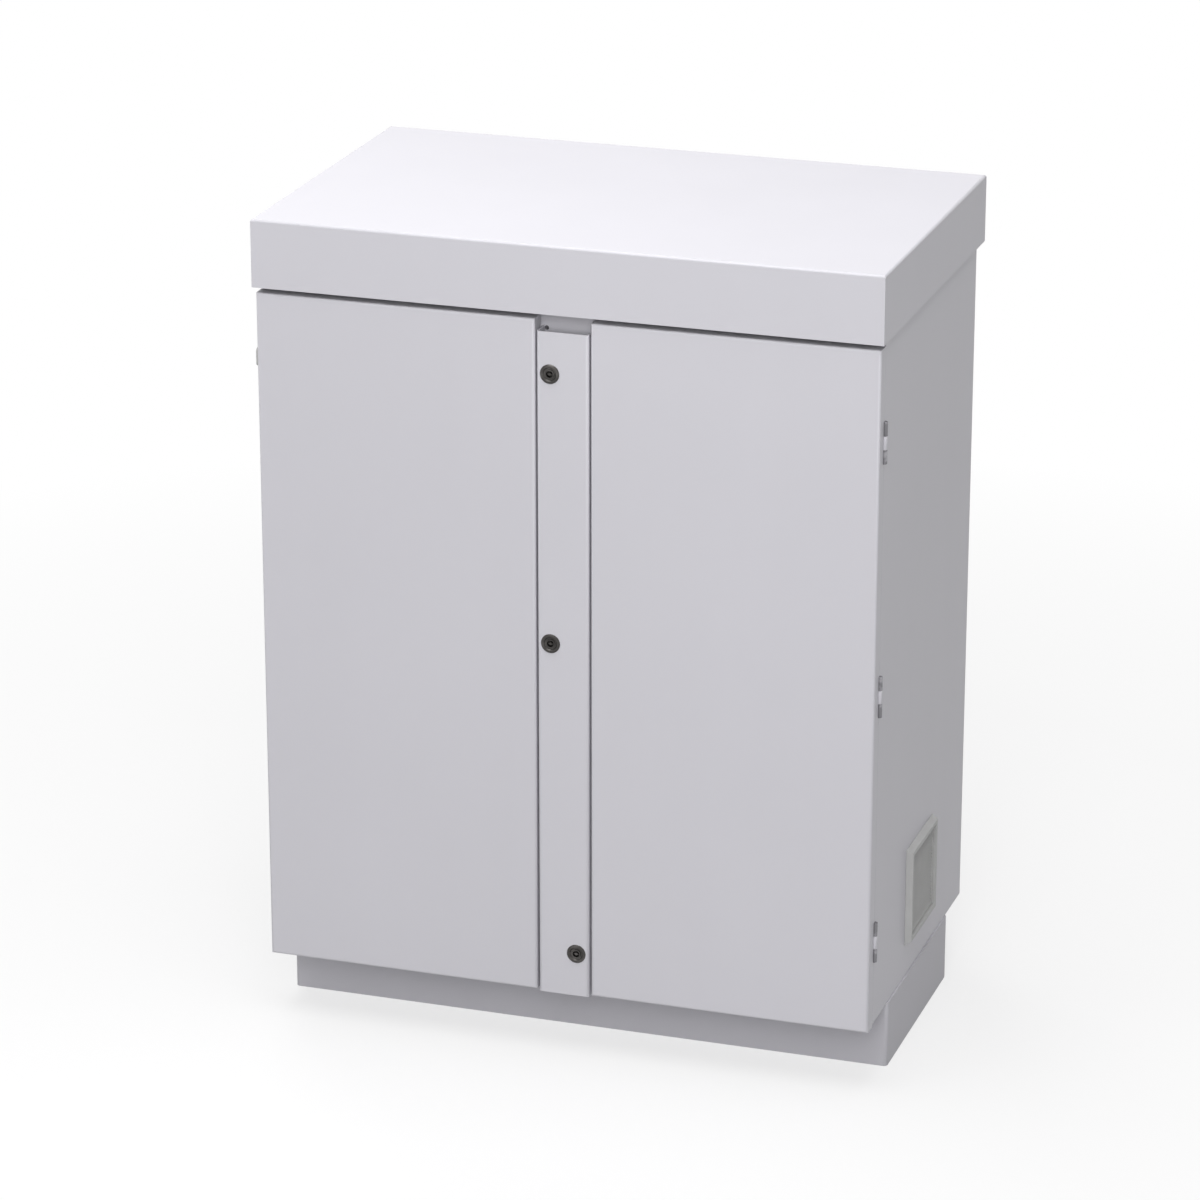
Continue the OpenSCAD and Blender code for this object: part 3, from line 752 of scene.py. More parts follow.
def hex_bolt(name: str, across: float, head: float, shank_r: float, length: float) -> bpy.types.Mesh:
    """Hexagon bolt with a chamfered head above z = 0 and a threaded shank below.

    Args:
        name: Name of the mesh.
        across: Width across flats.
        head: Height of the head.
        shank_r: Radius of the thread.
        length: Length of the shank.

    Returns:
        The mesh.
    """
    flat, corner = across / 2, across / math.sqrt(3)
    rings = [
        *shank(-length, 0.0, shank_r, 0.3 * shank_r),
        *profile(BOLT_COLLAR, head, flat),
        Ring(0.1 * head, flat, Outline.HEX, corner),
        Ring(0.72 * head, flat, Outline.HEX, corner),
        Ring(0.86 * head, flat, Outline.HEX, 0.5 * (flat + corner)),
        *profile(BOLT_CROWN, head, flat),
    ]
    return turned(name, rings, segments=48)


def hex_nut(name: str, across: float, thickness: float, bore_r: float) -> bpy.types.Mesh:
    """Hexagon nut with both ends chamfered, from z = 0 up.

    Args:
        name: Name of the mesh.
        across: Width across flats.
        thickness: Height of the nut.
        bore_r: Radius of the bore.

    Returns:
        The mesh.
    """
    flat, corner = across / 2, across / math.sqrt(3)
    middle, mouth = 0.5 * (flat + corner), min(1.1 * bore_r, 0.97 * flat)
    rings = [
        Ring(0.12 * thickness, bore_r),
        Ring(0.0, mouth),
        Ring(0.0, 0.975 * flat),
        Ring(0.08 * thickness, flat, Outline.HEX, middle),
        Ring(0.2 * thickness, flat, Outline.HEX, corner),
        Ring(0.8 * thickness, flat, Outline.HEX, corner),
        Ring(0.92 * thickness, flat, Outline.HEX, middle),
        Ring(thickness, 0.975 * flat),
        Ring(thickness, mouth),
        Ring(0.88 * thickness, bore_r),
    ]
    return turned(name, rings, segments=48, hollow=True)


# Geometry Nodes

EDGE_STEPS = 3
CORNER_STEPS = 8
AS_DRAWN = {"transform_space": "ORIGINAL"}

# Sockets of a Random Value node for plain numbers
RANDOM_MIN = 2
RANDOM_MAX = 3
RANDOM_RESULT = 1


class GeometryTree(NodeTree):
    """A Geometry Nodes tree with named inputs, ending in Realize Instances and Set Material."""

    def __init__(self, name: str, inputs: dict[str, str]) -> None:
        """Makes the tree's interface.

        Args:
            name: Name of the tree.
            inputs: Kind of each named input, such as Float.
        """
        super().__init__(bpy.data.node_groups.new(name, "GeometryNodeTree"))
        interface = self.tree.interface
        self.sockets = {}
        for label, kind in {"Geometry": "Geometry", **inputs, "Finish": "Material"}.items():
            socket = interface.new_socket(label, in_out="INPUT", socket_type="NodeSocket" + kind)
            self.sockets[label] = socket.identifier
        interface.new_socket("Geometry", in_out="OUTPUT", socket_type="NodeSocketGeometry")
        self.source = self.tree.nodes.new("NodeGroupInput")

    def feed(self, socket: bpy.types.NodeSocket, value: object) -> None:
        """Links a socket or sets its value.

        Args:
            socket: The input to feed.
            value: As in any tree, or "@Name" for the tree's own input of that name.
        """
        if isinstance(value, str) and value.startswith("@"):
            value = self.source.outputs[value[1:]]
        super().feed(socket, value)

    def rectangle(self, width: str, height: str, radius: str, steps: int) -> bpy.types.NodeSocket:
        """A rectangle with rounded corners.

        Args:
            width: The tree's own input for its width.
            height: The tree's own input for its height.
            radius: The tree's own input for the radius of its corners.
            steps: Points around a corner.

        Returns:
            The curve's socket.
        """
        sharp = self.out("GeometryNodeCurvePrimitiveQuadrilateral", {"Width": width, "Height": height})
        corner = {"Curve": sharp, "Count": steps, "Radius": radius}
        return self.out("GeometryNodeFilletCurve", corner, {"mode": "POLY"})

    def end(self, geometry: bpy.types.NodeSocket) -> None:
        """Closes the tree.

        Args:
            geometry: The geometry to hand on.
        """
        real = self.out("GeometryNodeRealizeInstances", {0: geometry})
        done = self.out("GeometryNodeSetMaterial", {0: real, "Material": "@Finish"})
        self.node("NodeGroupOutput", None, {0: done})

    def make(self, name: str, mesh: bpy.types.Mesh, slot: Slot, **values: object) -> bpy.types.Mesh:
        """Runs the tree on a mesh.

        Args:
            name: Name of the result.
            mesh: Geometry that goes in.
            slot: Finish of the result.
            values: The tree's other inputs.

        Returns:
            A plain mesh.
        """
        carrier = bpy.data.objects.new(name, mesh)
        bpy.context.scene.collection.objects.link(carrier)
        modifier = carrier.modifiers.new("Nodes", "NODES")
        modifier.node_group = self.tree
        for label, value in {**values, "Finish": MATERIALS[slot]}.items():
            modifier[self.sockets[label]] = value
        graph = bpy.context.evaluated_depsgraph_get()
        result = bpy.data.meshes.new_from_object(carrier.evaluated_get(graph), depsgraph=graph)
        carrier.modifiers.remove(modifier)
        bpy.data.objects.remove(carrier)
        result.name = name
        return result


def placing_tree() -> GeometryTree:
    """Tree that sets one shape at every point of a mesh, each turned a little about its own axis.

    Returns:
        The tree, with inputs for the shape, its direction, the spin and the seed.
    """
    tree = GeometryTree(
        "set_at_places", {"Shape": "Object", "Turn": "Vector", "Spin": "Float", "Seed": "Int"}
    )
    shape = tree.out("GeometryNodeObjectInfo", {"Object": "@Shape"}, AS_DRAWN, "Geometry")
    points = tree.out("GeometryNodeMeshToPoints", {"Mesh": "@Geometry"})
    turn = tree.out("FunctionNodeEulerToRotation", {0: "@Turn"})
    stand = tree.out(
        "GeometryNodeInstanceOnPoints", {"Points": points, "Instance": shape, "Rotation": turn}
    )
    limits = {RANDOM_MIN: 0.0, RANDOM_MAX: "@Spin", "Seed": "@Seed"}
    chance = tree.out("FunctionNodeRandomValue", limits, {"data_type": "FLOAT"}, RANDOM_RESULT)
    about_axis = tree.out("ShaderNodeCombineXYZ", {"Z": chance})
    spun = {"Instances": stand, "Rotation": about_axis, "Local Space": True}
    tree.end(tree.out("GeometryNodeRotateInstances", spun))
    return tree


def louvre_tree() -> GeometryTree:
    """Tree that fills a square with sloping slats, drawn across X with +Z outwards.

    Returns:
        The tree, with inputs for the slats' number, pitch, length, thickness, depth, edge and slope.
    """
    sizes = ("Pitch", "Length", "Thickness", "Depth", "Edge", "Slope")
    tree = GeometryTree("louvres", {"Count": "Int", **dict.fromkeys(sizes, "Float")})
    half = tree.out("ShaderNodeMath", {0: "@Length", 1: 0.5}, {"operation": "MULTIPLY"})
    start = tree.out("ShaderNodeCombineXYZ", {"Y": half})
    stop = tree.out("ShaderNodeVectorMath", {0: start, "Scale": -1.0}, {"operation": "SCALE"})
    run = tree.out("GeometryNodeCurvePrimitiveLine", {"Start": stop, "End": start})
    section = tree.rectangle("@Thickness", "@Depth", "@Edge", EDGE_STEPS)
    slat = tree.out(
        "GeometryNodeCurveToMesh", {"Curve": run, "Profile Curve": section, "Fill Caps": True}
    )
    tilt = tree.out("ShaderNodeCombineXYZ", {"Y": "@Slope"})
    tilted = tree.out("GeometryNodeTransform", {0: slat, "Rotation": tilt})
    gaps = tree.out("ShaderNodeMath", {0: "@Count", 1: 1.0}, {"operation": "SUBTRACT"})
    halves = tree.out("ShaderNodeMath", {0: gaps, 1: -0.5}, {"operation": "MULTIPLY"})
    step = tree.out("ShaderNodeCombineXYZ", {"X": "@Pitch"})
    first = tree.out("ShaderNodeVectorMath", {0: step, "Scale": halves}, {"operation": "SCALE"})
    line = {"Count": "@Count", "Start Location": first, "Offset": step}
    row = tree.out("GeometryNodeMeshLine", line, {"mode": "OFFSET"})
    slats = tree.out("GeometryNodeInstanceOnPoints", {"Points": row, "Instance": tilted})
    joined = tree.node("GeometryNodeJoinGeometry", None, {0: slats})
    tree.feed(joined.inputs[0], "@Geometry")
    tree.end(joined.outputs[0])
    return tree


def loop_tree() -> GeometryTree:
    """Tree that runs a profile around a rectangle with rounded corners, drawn flat around Z.

    Returns:
        The tree, with inputs for the rectangle's width, height and corner, and the profile.
    """
    tree = GeometryTree(
        "profile_loop", {"Width": "Float", "Height": "Float", "Corner": "Float", "Profile": "Object"}
    )
    path = tree.rectangle("@Width", "@Height", "@Corner", CORNER_STEPS)
    upright = tree.out("GeometryNodeSetCurveNormal", {0: path}, {"mode": "Z_UP"})
    section = tree.out("GeometryNodeObjectInfo", {"Object": "@Profile"}, AS_DRAWN, "Geometry")
    swept = tree.out("GeometryNodeCurveToMesh", {"Curve": upright, "Profile Curve": section})
    tree.end(tree.out("GeometryNodeSetShadeSmooth", {0: swept}))
    return tree


PLACING = placing_tree()
LOUVRES = louvre_tree()
LOOP = loop_tree()


# Pieces


def add_piece(mesh: bpy.types.Mesh, slot: Slot, body: Body, *stands_for: str) -> None:
    """Adds a finished mesh to the cabinet.

    Args:
        mesh: The mesh, in place; its name becomes the piece's.
        slot: Material slot of the piece.
        body: Body that carries it.
        stands_for: Nodes of the solids that it replaces.
    """
    mesh.materials.clear()
    mesh.materials.append(MATERIALS[slot])
    piece = bpy.data.objects.new(mesh.name, mesh)
    bpy.context.scene.collection.objects.link(piece)
    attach(piece, body.value)
    if stands_for:
        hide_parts(*stands_for)
    LOG.info("%s: %d faces, on %s", mesh.name, len(mesh.polygons), body.value)


@dataclass(frozen=True)
class Setting:
    """How a shape is set: where its +Z points, its finish and body, and its random turns."""

    turn: Turn
    slot: Slot = Slot.ZINC
    body: Body = Body.CARCASS
    spin: float = 0.0
    seed: int = 0


def set_at(
    name: str, shape: bpy.types.Mesh, places: Sequence[Point], setting: Setting, *stands_for: str
) -> None:
    """Adds a piece that repeats a shape at several places, through the placing tree.

    Args:
        name: Name of the piece.
        shape: Shape drawn along +Z.
        places: Where it goes.
        setting: How it is set.
        stands_for: Nodes of the solids that it replaces.
    """
    points = bpy.data.meshes.new(name + "_places")
    points.from_pydata([tuple(place) for place in places], [], [])
    pattern = bpy.data.objects.new(name + "_shape", shape)
    bpy.context.scene.collection.objects.link(pattern)
    turns = {"Turn": setting.turn.value, "Spin": setting.spin, "Seed": setting.seed}
    mesh = PLACING.make(name, points, setting.slot, Shape=pattern, **turns)
    bpy.data.objects.remove(pattern)
    add_piece(mesh, setting.slot, setting.body, *stands_for)


@dataclass(frozen=True)
class Solid:
    """The box of one solid."""

    low: Vector
    high: Vector

    def length(self, turn: Turn) -> float:
        """Size along the direction of a turn."""
        return (self.high - self.low).z if turn is Turn.UP else (self.high - self.low).y

    def seat(self, turn: Turn, lift: float) -> Point:
        """A point on the middle line of the box.

        Args:
            turn: Direction of that line, from the foot of the box.
            lift: Distance from the foot.

        Returns:
            The point.
        """
        x, y, z = (self.low + self.high) / 2
        if turn is Turn.UP:
            return x, y, self.low.z + lift
        return x, self.high.y - lift if turn is Turn.FRONT else self.low.y + lift, z


def solids_of(node: str) -> list[Solid]:
    """Boxes of the separate solids in a node.

    Args:
        node: Name of the node.

    Returns:
        The boxes, in a fixed order.
    """
    shape = bmesh.new()
    shape.from_mesh(frame["nodes"][node].data)
    bmesh.ops.remove_doubles(shape, verts=shape.verts, dist=MERGE)
    unseen, solids = set(shape.verts), []
    while unseen:
        stack, group = [unseen.pop()], []
        while stack:
            vert = stack.pop()
            group.append(vert.co.copy())
            for edge in vert.link_edges:
                other = edge.other_vert(vert)
                if other in unseen:
                    unseen.remove(other)
                    stack.append(other)
        low, high = (Vector(pick(co[i] for co in group) for i in range(3)) for pick in (min, max))
        solids.append(Solid(low, high))
    shape.free()
    return sorted(solids, key=lambda solid: tuple(round(value, 5) for value in solid.low))


def fit(name: str, shape: bpy.types.Mesh, node: str, setting: Setting, lift: float = 0.0) -> None:
    """Adds a piece that repeats a shape at each solid of a node, and replaces the node.

    Args:
        name: Name of the piece.
        shape: Shape drawn along +Z.
        node: Node that it stands for.
        setting: How it is set.
        lift: Distance of the shape's origin from the foot of each solid.
    """
    places = [solid.seat(setting.turn, lift) for solid in solids_of(node)]
    set_at(name, shape, places, setting, node)


def fit_screws(name: str, size: ScrewSize, node: str, setting: Setting) -> None:
    """Adds pan-head screws in place of the solids of a node.

    Args:
        name: Name of the piece.
        size: Sizes of the screws.
        node: Node that they stand for.
        setting: How they are set.
    """
    length = solids_of(node)[0].length(setting.turn) - size.head
    fit(name, size.mesh(name + "_one", length), node, setting, length)


def soften(node: str, edge: float, segments: int = 2) -> None:
    """Rounds the sharp edges of a solid that stays in view.

    Args:
        node: Name of the node.
        edge: Width of the rounding.
        segments: Steps across it.
    """
    piece = frame["nodes"][node]
    piece.modifiers.new("Merge", "WELD").merge_threshold = MERGE
    bevel = piece.modifiers.new("Edges", "BEVEL")
    bevel.width = edge
    bevel.segments = segments
    bevel.limit_method = "ANGLE"
    bevel.angle_limit = SHARP
    bevel.harden_normals = True


@dataclass
class SheetWork:
    """Folded sheets, plates and hinge leaves, which keep the shapes of their solids."""

    sheet_edge: float = 0.35 * MM
    plinth_edge: float = 1.9 * MM
    frame_edge: float = 0.7 * MM
    buffer_edge: float = 1.4 * MM
    leaf_edge: float = 0.3 * MM
    core_edge: float = 0.25 * MM
    sheets: tuple[str, ...] = (
        "hood",
        "left_door",
        "right_door",
        "left_side_panel",
        "right_side_panel",
        "back_panel",
        "centre_post",
        "mounting_plate",
        "gland_plate",
        "earth_bar",
    )
    leaves: tuple[str, ...] = tuple(
        f"{side}_{level}_{kind}_leaf"
        for side in ("left", "right")
        for level in LEVELS
        for kind in ("frame", "door")
    )

    def dress(self) -> None:
        """Gives every solid its finish, and soft edges to those that show them."""
        for entry in frame["record"]["subparts"]:
            mesh = frame["nodes"][entry["node"]].data
            mesh.materials.clear()
            mesh.materials.append(MATERIALS[Slot(entry["material_slot"])])
        for node in self.sheets:
            soften(node, self.sheet_edge)
        for node in self.leaves:
            soften(node, self.leaf_edge)
        for level in LEVELS:
            soften(f"{level}_lock_core", self.core_edge)
            soften(f"{level}_lock_tongue", self.core_edge)
        soften("plinth", self.plinth_edge, 3)
        soften("vent_frame", self.frame_edge)
        soften("door_buffer", self.buffer_edge, 4)
        LOG.info("solids: %d dressed", len(frame["nodes"]))


@dataclass
class Fasteners:
    """Bolts, nuts, screws and studs of the carcass."""

    bolt_r: float = 5.0 * MM
    bolt_across: float = 16.0 * MM
    bolt_head: float = 6.0 * MM
    nut: float = 8.0 * MM
    screw: ScrewSize = ScrewSize(5.0 * MM, 3.0 * MM, 2.5 * MM)
    post_screw: ScrewSize = ScrewSize(3.0 * MM, 1.8 * MM, 1.5 * MM)
    stud_r: float = 4.0 * MM
    stud_nut: float = 6.5 * MM
    stud_across: float = 13.0 * MM
    standoff_r: float = 7.0 * MM
    standoff: float = 26.0 * MM
    post_r: float = 8.0 * MM
    post_stud: float = 14.0 * MM
    pitch: float = 1.5 * MM

    def build(self) -> None:
        """Makes all of them."""
        self.build_bolts()
        self.build_nuts()
        self.build_screws()
        self.build_studs()

    def build_bolts(self) -> None:
        """Bolts through the floor into the plinth."""
        length = solids_of("plinth_bolts")[0].length(Turn.UP) - self.bolt_head
        shape = hex_bolt("bolt", self.bolt_across, self.bolt_head, self.bolt_r, length)
        fit("plinth_bolt_set", shape, "plinth_bolts", Setting(Turn.UP, spin=math.pi, seed=3), length)

    def build_nuts(self) -> None:
        """Nuts under the hood's posts and in front of the mounting plate."""
        shape = hex_nut("hood_nut", self.bolt_across, self.nut, self.bolt_r)
        fit("hood_nut_set", shape, "hood_nuts", Setting(Turn.UP))
        shape = hex_nut("plate_nut", self.stud_across, self.stud_nut, self.stud_r)
        fit("plate_nut_set", shape, "plate_nuts", Setting(Turn.FRONT))

    def build_screws(self) -> None:
        """Screws of the gland plate, the earth bar and the centre post."""
        for kind, size, setting in (
            ("gland_screw", self.screw, Setting(Turn.UP, spin=math.pi, seed=7)),
            ("earth_screw", self.screw, Setting(Turn.FRONT, spin=math.pi, seed=11)),
            ("post_screw", self.post_screw, Setting(Turn.FRONT, Slot.STEEL, spin=math.pi, seed=13)),
        ):
            fit_screws(kind + "_set", size, kind + "s", setting)

    def build_studs(self) -> None:
        """Posts that carry the hood, and standoffs that carry the mounting plate."""
        height = solids_of("hood_posts")[0].length(Turn.UP)
        shape = self.stepped_stud("hood_post", self.bolt_r, self.post_stud, self.post_r, height)
        fit("hood_post_set", shape, "hood_posts", Setting(Turn.UP))
        depth = solids_of("plate_standoffs")[0].length(Turn.BACK)
        thread = depth - self.standoff
        shape = self.stepped_stud("plate_standoff", self.stud_r, thread, self.standoff_r, depth)
        fit("plate_standoff_set", shape, "plate_standoffs", Setting(Turn.BACK))

    def stepped_stud(
        self, name: str, stud_r: float, stud: float, body_r: float, height: float
    ) -> bpy.types.Mesh:
        """A threaded stud from z = 0 up, with a thicker plain body above it.

        Args:
            name: Name of the mesh.
            stud_r: Radius of the thread.
            stud: Length of the thread.
            body_r: Radius of the body.
            height: Whole height.

        Returns:
            The mesh.
        """
        chamfer = 0.1 * body_r
        rings = [
            *shank(0.0, stud, stud_r, self.pitch),
            Ring(stud, body_r - chamfer),
            Ring(stud + chamfer, body_r),
            Ring(height - chamfer, body_r),
            Ring(height, body_r - chamfer),
            Ring(height, 0.0),
        ]
        return turned(name, rings)


@dataclass
class Locks:
    """Fronts, nuts and tongue screws of the three quarter-turn locks."""

    flange_r: float = 14.0 * MM
    proud: float = 2.5 * MM
    housing_r: float = 11.0 * MM
    bore_r: float = 6.5 * MM
    nut_across: float = 25.0 * MM
    nut: float = 5.0 * MM
    screw: ScrewSize = ScrewSize(6.0 * MM, 3.0 * MM, 2.5 * MM)
    pitch: float = 1.5 * MM
    rim: Profile = ((0.0, 0.98), (0.1, 1.0), (0.22, 1.0), (0.32, 0.985), (0.94, 0.84), (1.0, 0.81))
    dish: Profile = ((1.0, 0.75), (0.88, 0.71), (0.12, 0.61), (0.06, 0.57))
    bodies: tuple[Body, ...] = (Body.UPPER_LOCK, Body.MIDDLE_LOCK, Body.LOWER_LOCK)

    def build(self) -> None:
        """Makes all the locks' fine pieces."""
        for level, body in zip(LEVELS, self.bodies):
            self.build_housing(level)
            screw, node = f"{level}_lock_screw", f"{level}_tongue_screw"
            fit_screws(screw, self.screw, node, Setting(Turn.BACK, body=body))
        shape = hex_nut("lock_nut", self.nut_across, self.nut, self.housing_r)
        fit("lock_nut_set", shape, "lock_nuts", Setting(Turn.BACK))

    def build_housing(self, level: str) -> None:
        """A housing with a dished flange and a threaded neck.

        Args:
            level: Which lock.
        """
        node = f"{level}_lock_housing"
        neck = solids_of(node)[0].length(Turn.FRONT) - self.proud
        rings = [
            Ring(-neck, self.bore_r),
            Ring(-neck, 0.92 * self.housing_r),
            *threaded(-0.95 * neck, -0.1 * neck, self.housing_r, self.pitch),
            Ring(0.0, self.housing_r),
            *profile(self.rim, self.proud, self.flange_r),
            *profile(self.dish, self.proud, self.flange_r),
            Ring(0.06 * self.proud, 1.06 * self.bore_r),
            Ring(0.0, self.bore_r),
        ]
        shape = turned(f"{level}_housing", rings, segments=64, hollow=True)
        fit(f"{level}_lock_front", shape, node, Setting(Turn.FRONT, Slot.GUNMETAL), neck)


@dataclass
class Hinges:
    """Pins of the six hinges."""

    pin_r: float = 2.0 * MM
    dome: float = 0.8 * MM
    steps: tuple[float, ...] = (0.0, 0.35, 0.65, 0.85, 0.96)

    def build(self) -> None:
        """Makes the pins with domed ends."""
        length = solids_of("hinge_pins")[0].length(Turn.UP)
        rise = [Ring(self.dome * (1 - math.sqrt(1 - s * s)), self.pin_r * s) for s in self.steps]
        rise.append(Ring(self.dome, self.pin_r))
        fall = [Ring(length - ring.height, ring.radius) for ring in reversed(rise)]
        shape = turned("hinge_pin", rise + fall, segments=24)
        fit("hinge_pin_set", shape, "hinge_pins", Setting(Turn.UP, Slot.STEEL))


@dataclass
class Seals:
    """Rubber seals on the front frame, one loop for each door."""

    width: float = 12.0 * MM
    corner: float = 9.0 * MM
    lip: float = 1.2 * MM
    bulb: float = 0.86
    steps: int = 14

    def build(self) -> None:
        """Makes both loops."""
        for side in ("left", "right"):
            self.build_loop(side)

    def section(self, height: float) -> bpy.types.Object:
        """Section of the seal: a flat foot with a round bulb on it.

        Args:
            height: Height of the bulb.

        Returns:
            A closed curve around its own middle.
        """
        half, rise = self.width / 2, height - self.lip
        arc = [math.pi * i / self.steps for i in range(self.steps + 1)]
        bulb = [(self.bulb * half * math.cos(a), self.lip + rise * math.sin(a)) for a in arc]
        outline = [(-half, 0.0), (half, 0.0), (half, self.lip), *bulb, (-half, self.lip)]
        curve = bpy.data.curves.new("seal_section", "CURVE")
        spline = curve.splines.new("POLY")
        spline.points.add(len(outline) - 1)
        for point, (x, y) in zip(spline.points, outline):
            point.co = (x, y, 0.0, 1.0)
        spline.use_cyclic_u = True
        section = bpy.data.objects.new("seal_section", curve)
        bpy.context.scene.collection.objects.link(section)
        return section

    def build_loop(self, side: str) -> None:
        """One seal around a door's opening.

        Args:
            side: Left or right.
        """
        low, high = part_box(f"{side}_door_seal")
        section = self.section(high.y - low.y)
        mesh = LOOP.make(
            f"{side}_seal_loop",
            bpy.data.meshes.new("seal_start"),
            Slot.RUBBER,
            Width=high.x - low.x - self.width,
            Height=high.z - low.z - self.width,
            Corner=self.corner,
            Profile=section,
        )
        bpy.data.objects.remove(section)
        middle = (low + high) / 2
        place = Matrix.Translation((middle.x, high.y, middle.z))
        mesh.transform(place @ Matrix.Rotation(-math.pi / 2, 4, "X"))
        shape = bmesh.new()
        shape.from_mesh(mesh)
        bmesh.ops.recalc_face_normals(shape, faces=shape.faces)
        shape.to_mesh(mesh)
        shape.free()
        add_piece(mesh, Slot.RUBBER, Body.CARCASS, f"{side}_door_seal")


@dataclass
class Vent:
    """Louvred grille of the side vent."""

    pitch: float = 5.5 * MM
    slats: int = 21
    slat: float = 1.2 * MM
    edge: float = 0.35 * MM
    slope: float = math.radians(40.0)
    opening: float = 114.0 * MM
    face_edge: float = 0.6 * MM

    def build(self) -> None:
        """Makes the grille's border and slats as one moulding."""
        low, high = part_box("vent_grille")
        depth = high.x - low.x
        slat_depth = (depth - self.slat * math.sin(self.slope)) / math.cos(self.slope)
        mesh = LOUVRES.make(
            "vent_louvres",
            self.border(high.y - low.y, depth),
            Slot.PLASTIC,
            Count=self.slats,
            Pitch=self.pitch,
            Length=self.opening,
            Thickness=self.slat,
            Depth=slat_depth,
            Edge=self.edge,
            Slope=self.slope,
        )
        middle = (low + high) / 2
        mesh.transform(Matrix.Translation(middle) @ Matrix.Rotation(math.pi / 2, 4, "Y"))
        add_piece(mesh, Slot.PLASTIC, Body.CARCASS, "vent_grille")

    def border(self, width: float, depth: float) -> bpy.types.Mesh:
        """Square rim of the grille with soft front edges, centred, with +Z outwards.

        Args:
            width: Outside width.
            depth: Depth of the rim.

        Returns:
            The mesh.
        """
        front, soft = depth / 2, self.face_edge
        section = (
            (width, -front),
            (width, front - soft),
            (width - 2 * soft, front),
            (self.opening + 2 * soft, front),
            (self.opening, front - soft),
            (self.opening, -front),
        )
        corners = ((-0.5, -0.5), (0.5, -0.5), (0.5, 0.5), (-0.5, 0.5))
        loops = [[(side * x, side * y, z) for x, y in corners] for side, z in section]
        return lofted("grille_border", loops, hollow=True)


@dataclass
class Glands:
    """Soft cable grommets in the gland plate."""

    hole_r: float = 25.0 * MM
    rim_over: float = 5.0 * MM
    rim_under: float = 3.0 * MM
    lip: float = 3.0 * MM
    plate: float = 2.0 * MM
    rise: float = 7.0 * MM
    skin: float = 2.0 * MM
    soft: float = 0.7 * MM
    slack: float = 0.3 * MM
    ledge: float = 1.2 * MM
    cut_drop: float = 0.35 * MM
    cut_width: float = 0.5 * MM
    cut_rings: int = 4

    def build(self) -> None:
        """Makes the grommets with stepped membranes, to be cut to a cable's size."""
        outer, inner, core = self.hole_r + self.rim_over, 0.6 * self.hole_r, 0.3 * self.hole_r
        top, soft = self.plate + self.lip, self.soft
        under, groove = self.hole_r + self.rim_under, self.hole_r - self.slack
        cuts = []
        for i in range(self.cut_rings + 1):
            radius = core + (inner - core) * i / self.cut_rings
            height = self.rise - (self.rise - top) * i / self.cut_rings
            cuts += [Ring(height, radius), Ring(height - self.cut_drop, radius + self.cut_width)]
        rings = [
            Ring(self.rise, 0.0),
            *cuts,
            Ring(top, inner + self.ledge),
            Ring(top, outer - soft),
            Ring(top - 0.3 * soft, outer - 0.3 * soft),
            Ring(top - soft, outer),
            Ring(self.plate, outer),
            Ring(self.plate, groove),
            Ring(0.0, groove),
            Ring(0.0, under),
            Ring(-self.lip + soft, under),
            Ring(-self.lip, under - soft),
            Ring(-self.lip, inner),
            Ring(self.rise - self.skin, core),
            Ring(self.rise - self.skin, 0.0),
        ]
        shape = turned("cable_grommet", rings, segments=56)
        fit("cable_grommet_set", shape, "cable_grommets", Setting(Turn.UP, Slot.RUBBER), self.lip)


@dataclass
class DoorWelds:
    """Spot welds that hold the stiffeners in the doors."""

    spot_r: float = 3.2 * MM
    rise: float = 0.22 * MM
    pitch: float = 95.0 * MM
    flange: float = 14.0 * MM
    sheet: float = 2.0 * MM
    crater: Profile = ((0.0, 1.0), (0.7, 0.8), (1.0, 0.6), (0.4, 0.35), (0.3, 0.0))

    def build(self) -> None:
        """Makes a row of welds along each flange of both stiffeners."""
        root = -0.5 * self.sheet
        rings = [Ring(root, 0.0), Ring(root, 0.9 * self.spot_r)]
        rings += profile(self.crater, self.rise, self.spot_r)
        for side, body in (("left", Body.LEFT_DOOR), ("right", Body.RIGHT_DOOR)):
            low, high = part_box(f"{side}_door_stiffener")
            count = int((high.z - low.z) / self.pitch)
            start = (low.z + high.z) / 2 - (count - 1) / 2 * self.pitch
            columns = (low.x + self.flange / 2, high.x - self.flange / 2)
            heights = [start + i * self.pitch for i in range(count)]
            places = [(x, low.y + self.sheet, z) for x in columns for z in heights]
            shape = turned(f"{side}_spot", rings, segments=20)
            set_at(f"{side}_door_welds", shape, places, Setting(Turn.BACK, Slot.PAINT, body))


# Studio


@dataclass(frozen=True)
class Lamp:
    """A square soft lamp that points at the cabinet, and shows in gloss where it is mirrored."""

    name: str
    place: Point
    size: float
    power: float
    aim: Point = (0.0, 0.0, 0.6)
    mirrored: bool = True

    def build(self) -> None:
        """Hangs the lamp."""
        data = bpy.data.lights.new(self.name, "AREA")
        data.shape = "SQUARE"
        data.size = self.size
        data.energy = self.power
        lamp = bpy.data.objects.new(self.name, data)
        lamp.location = self.place
        lamp.visible_glossy = self.mirrored
        ray = Vector(self.aim) - Vector(self.place)
        lamp.rotation_euler = ray.to_track_quat("-Z", "Y").to_euler()
        bpy.context.scene.collection.objects.link(lamp)


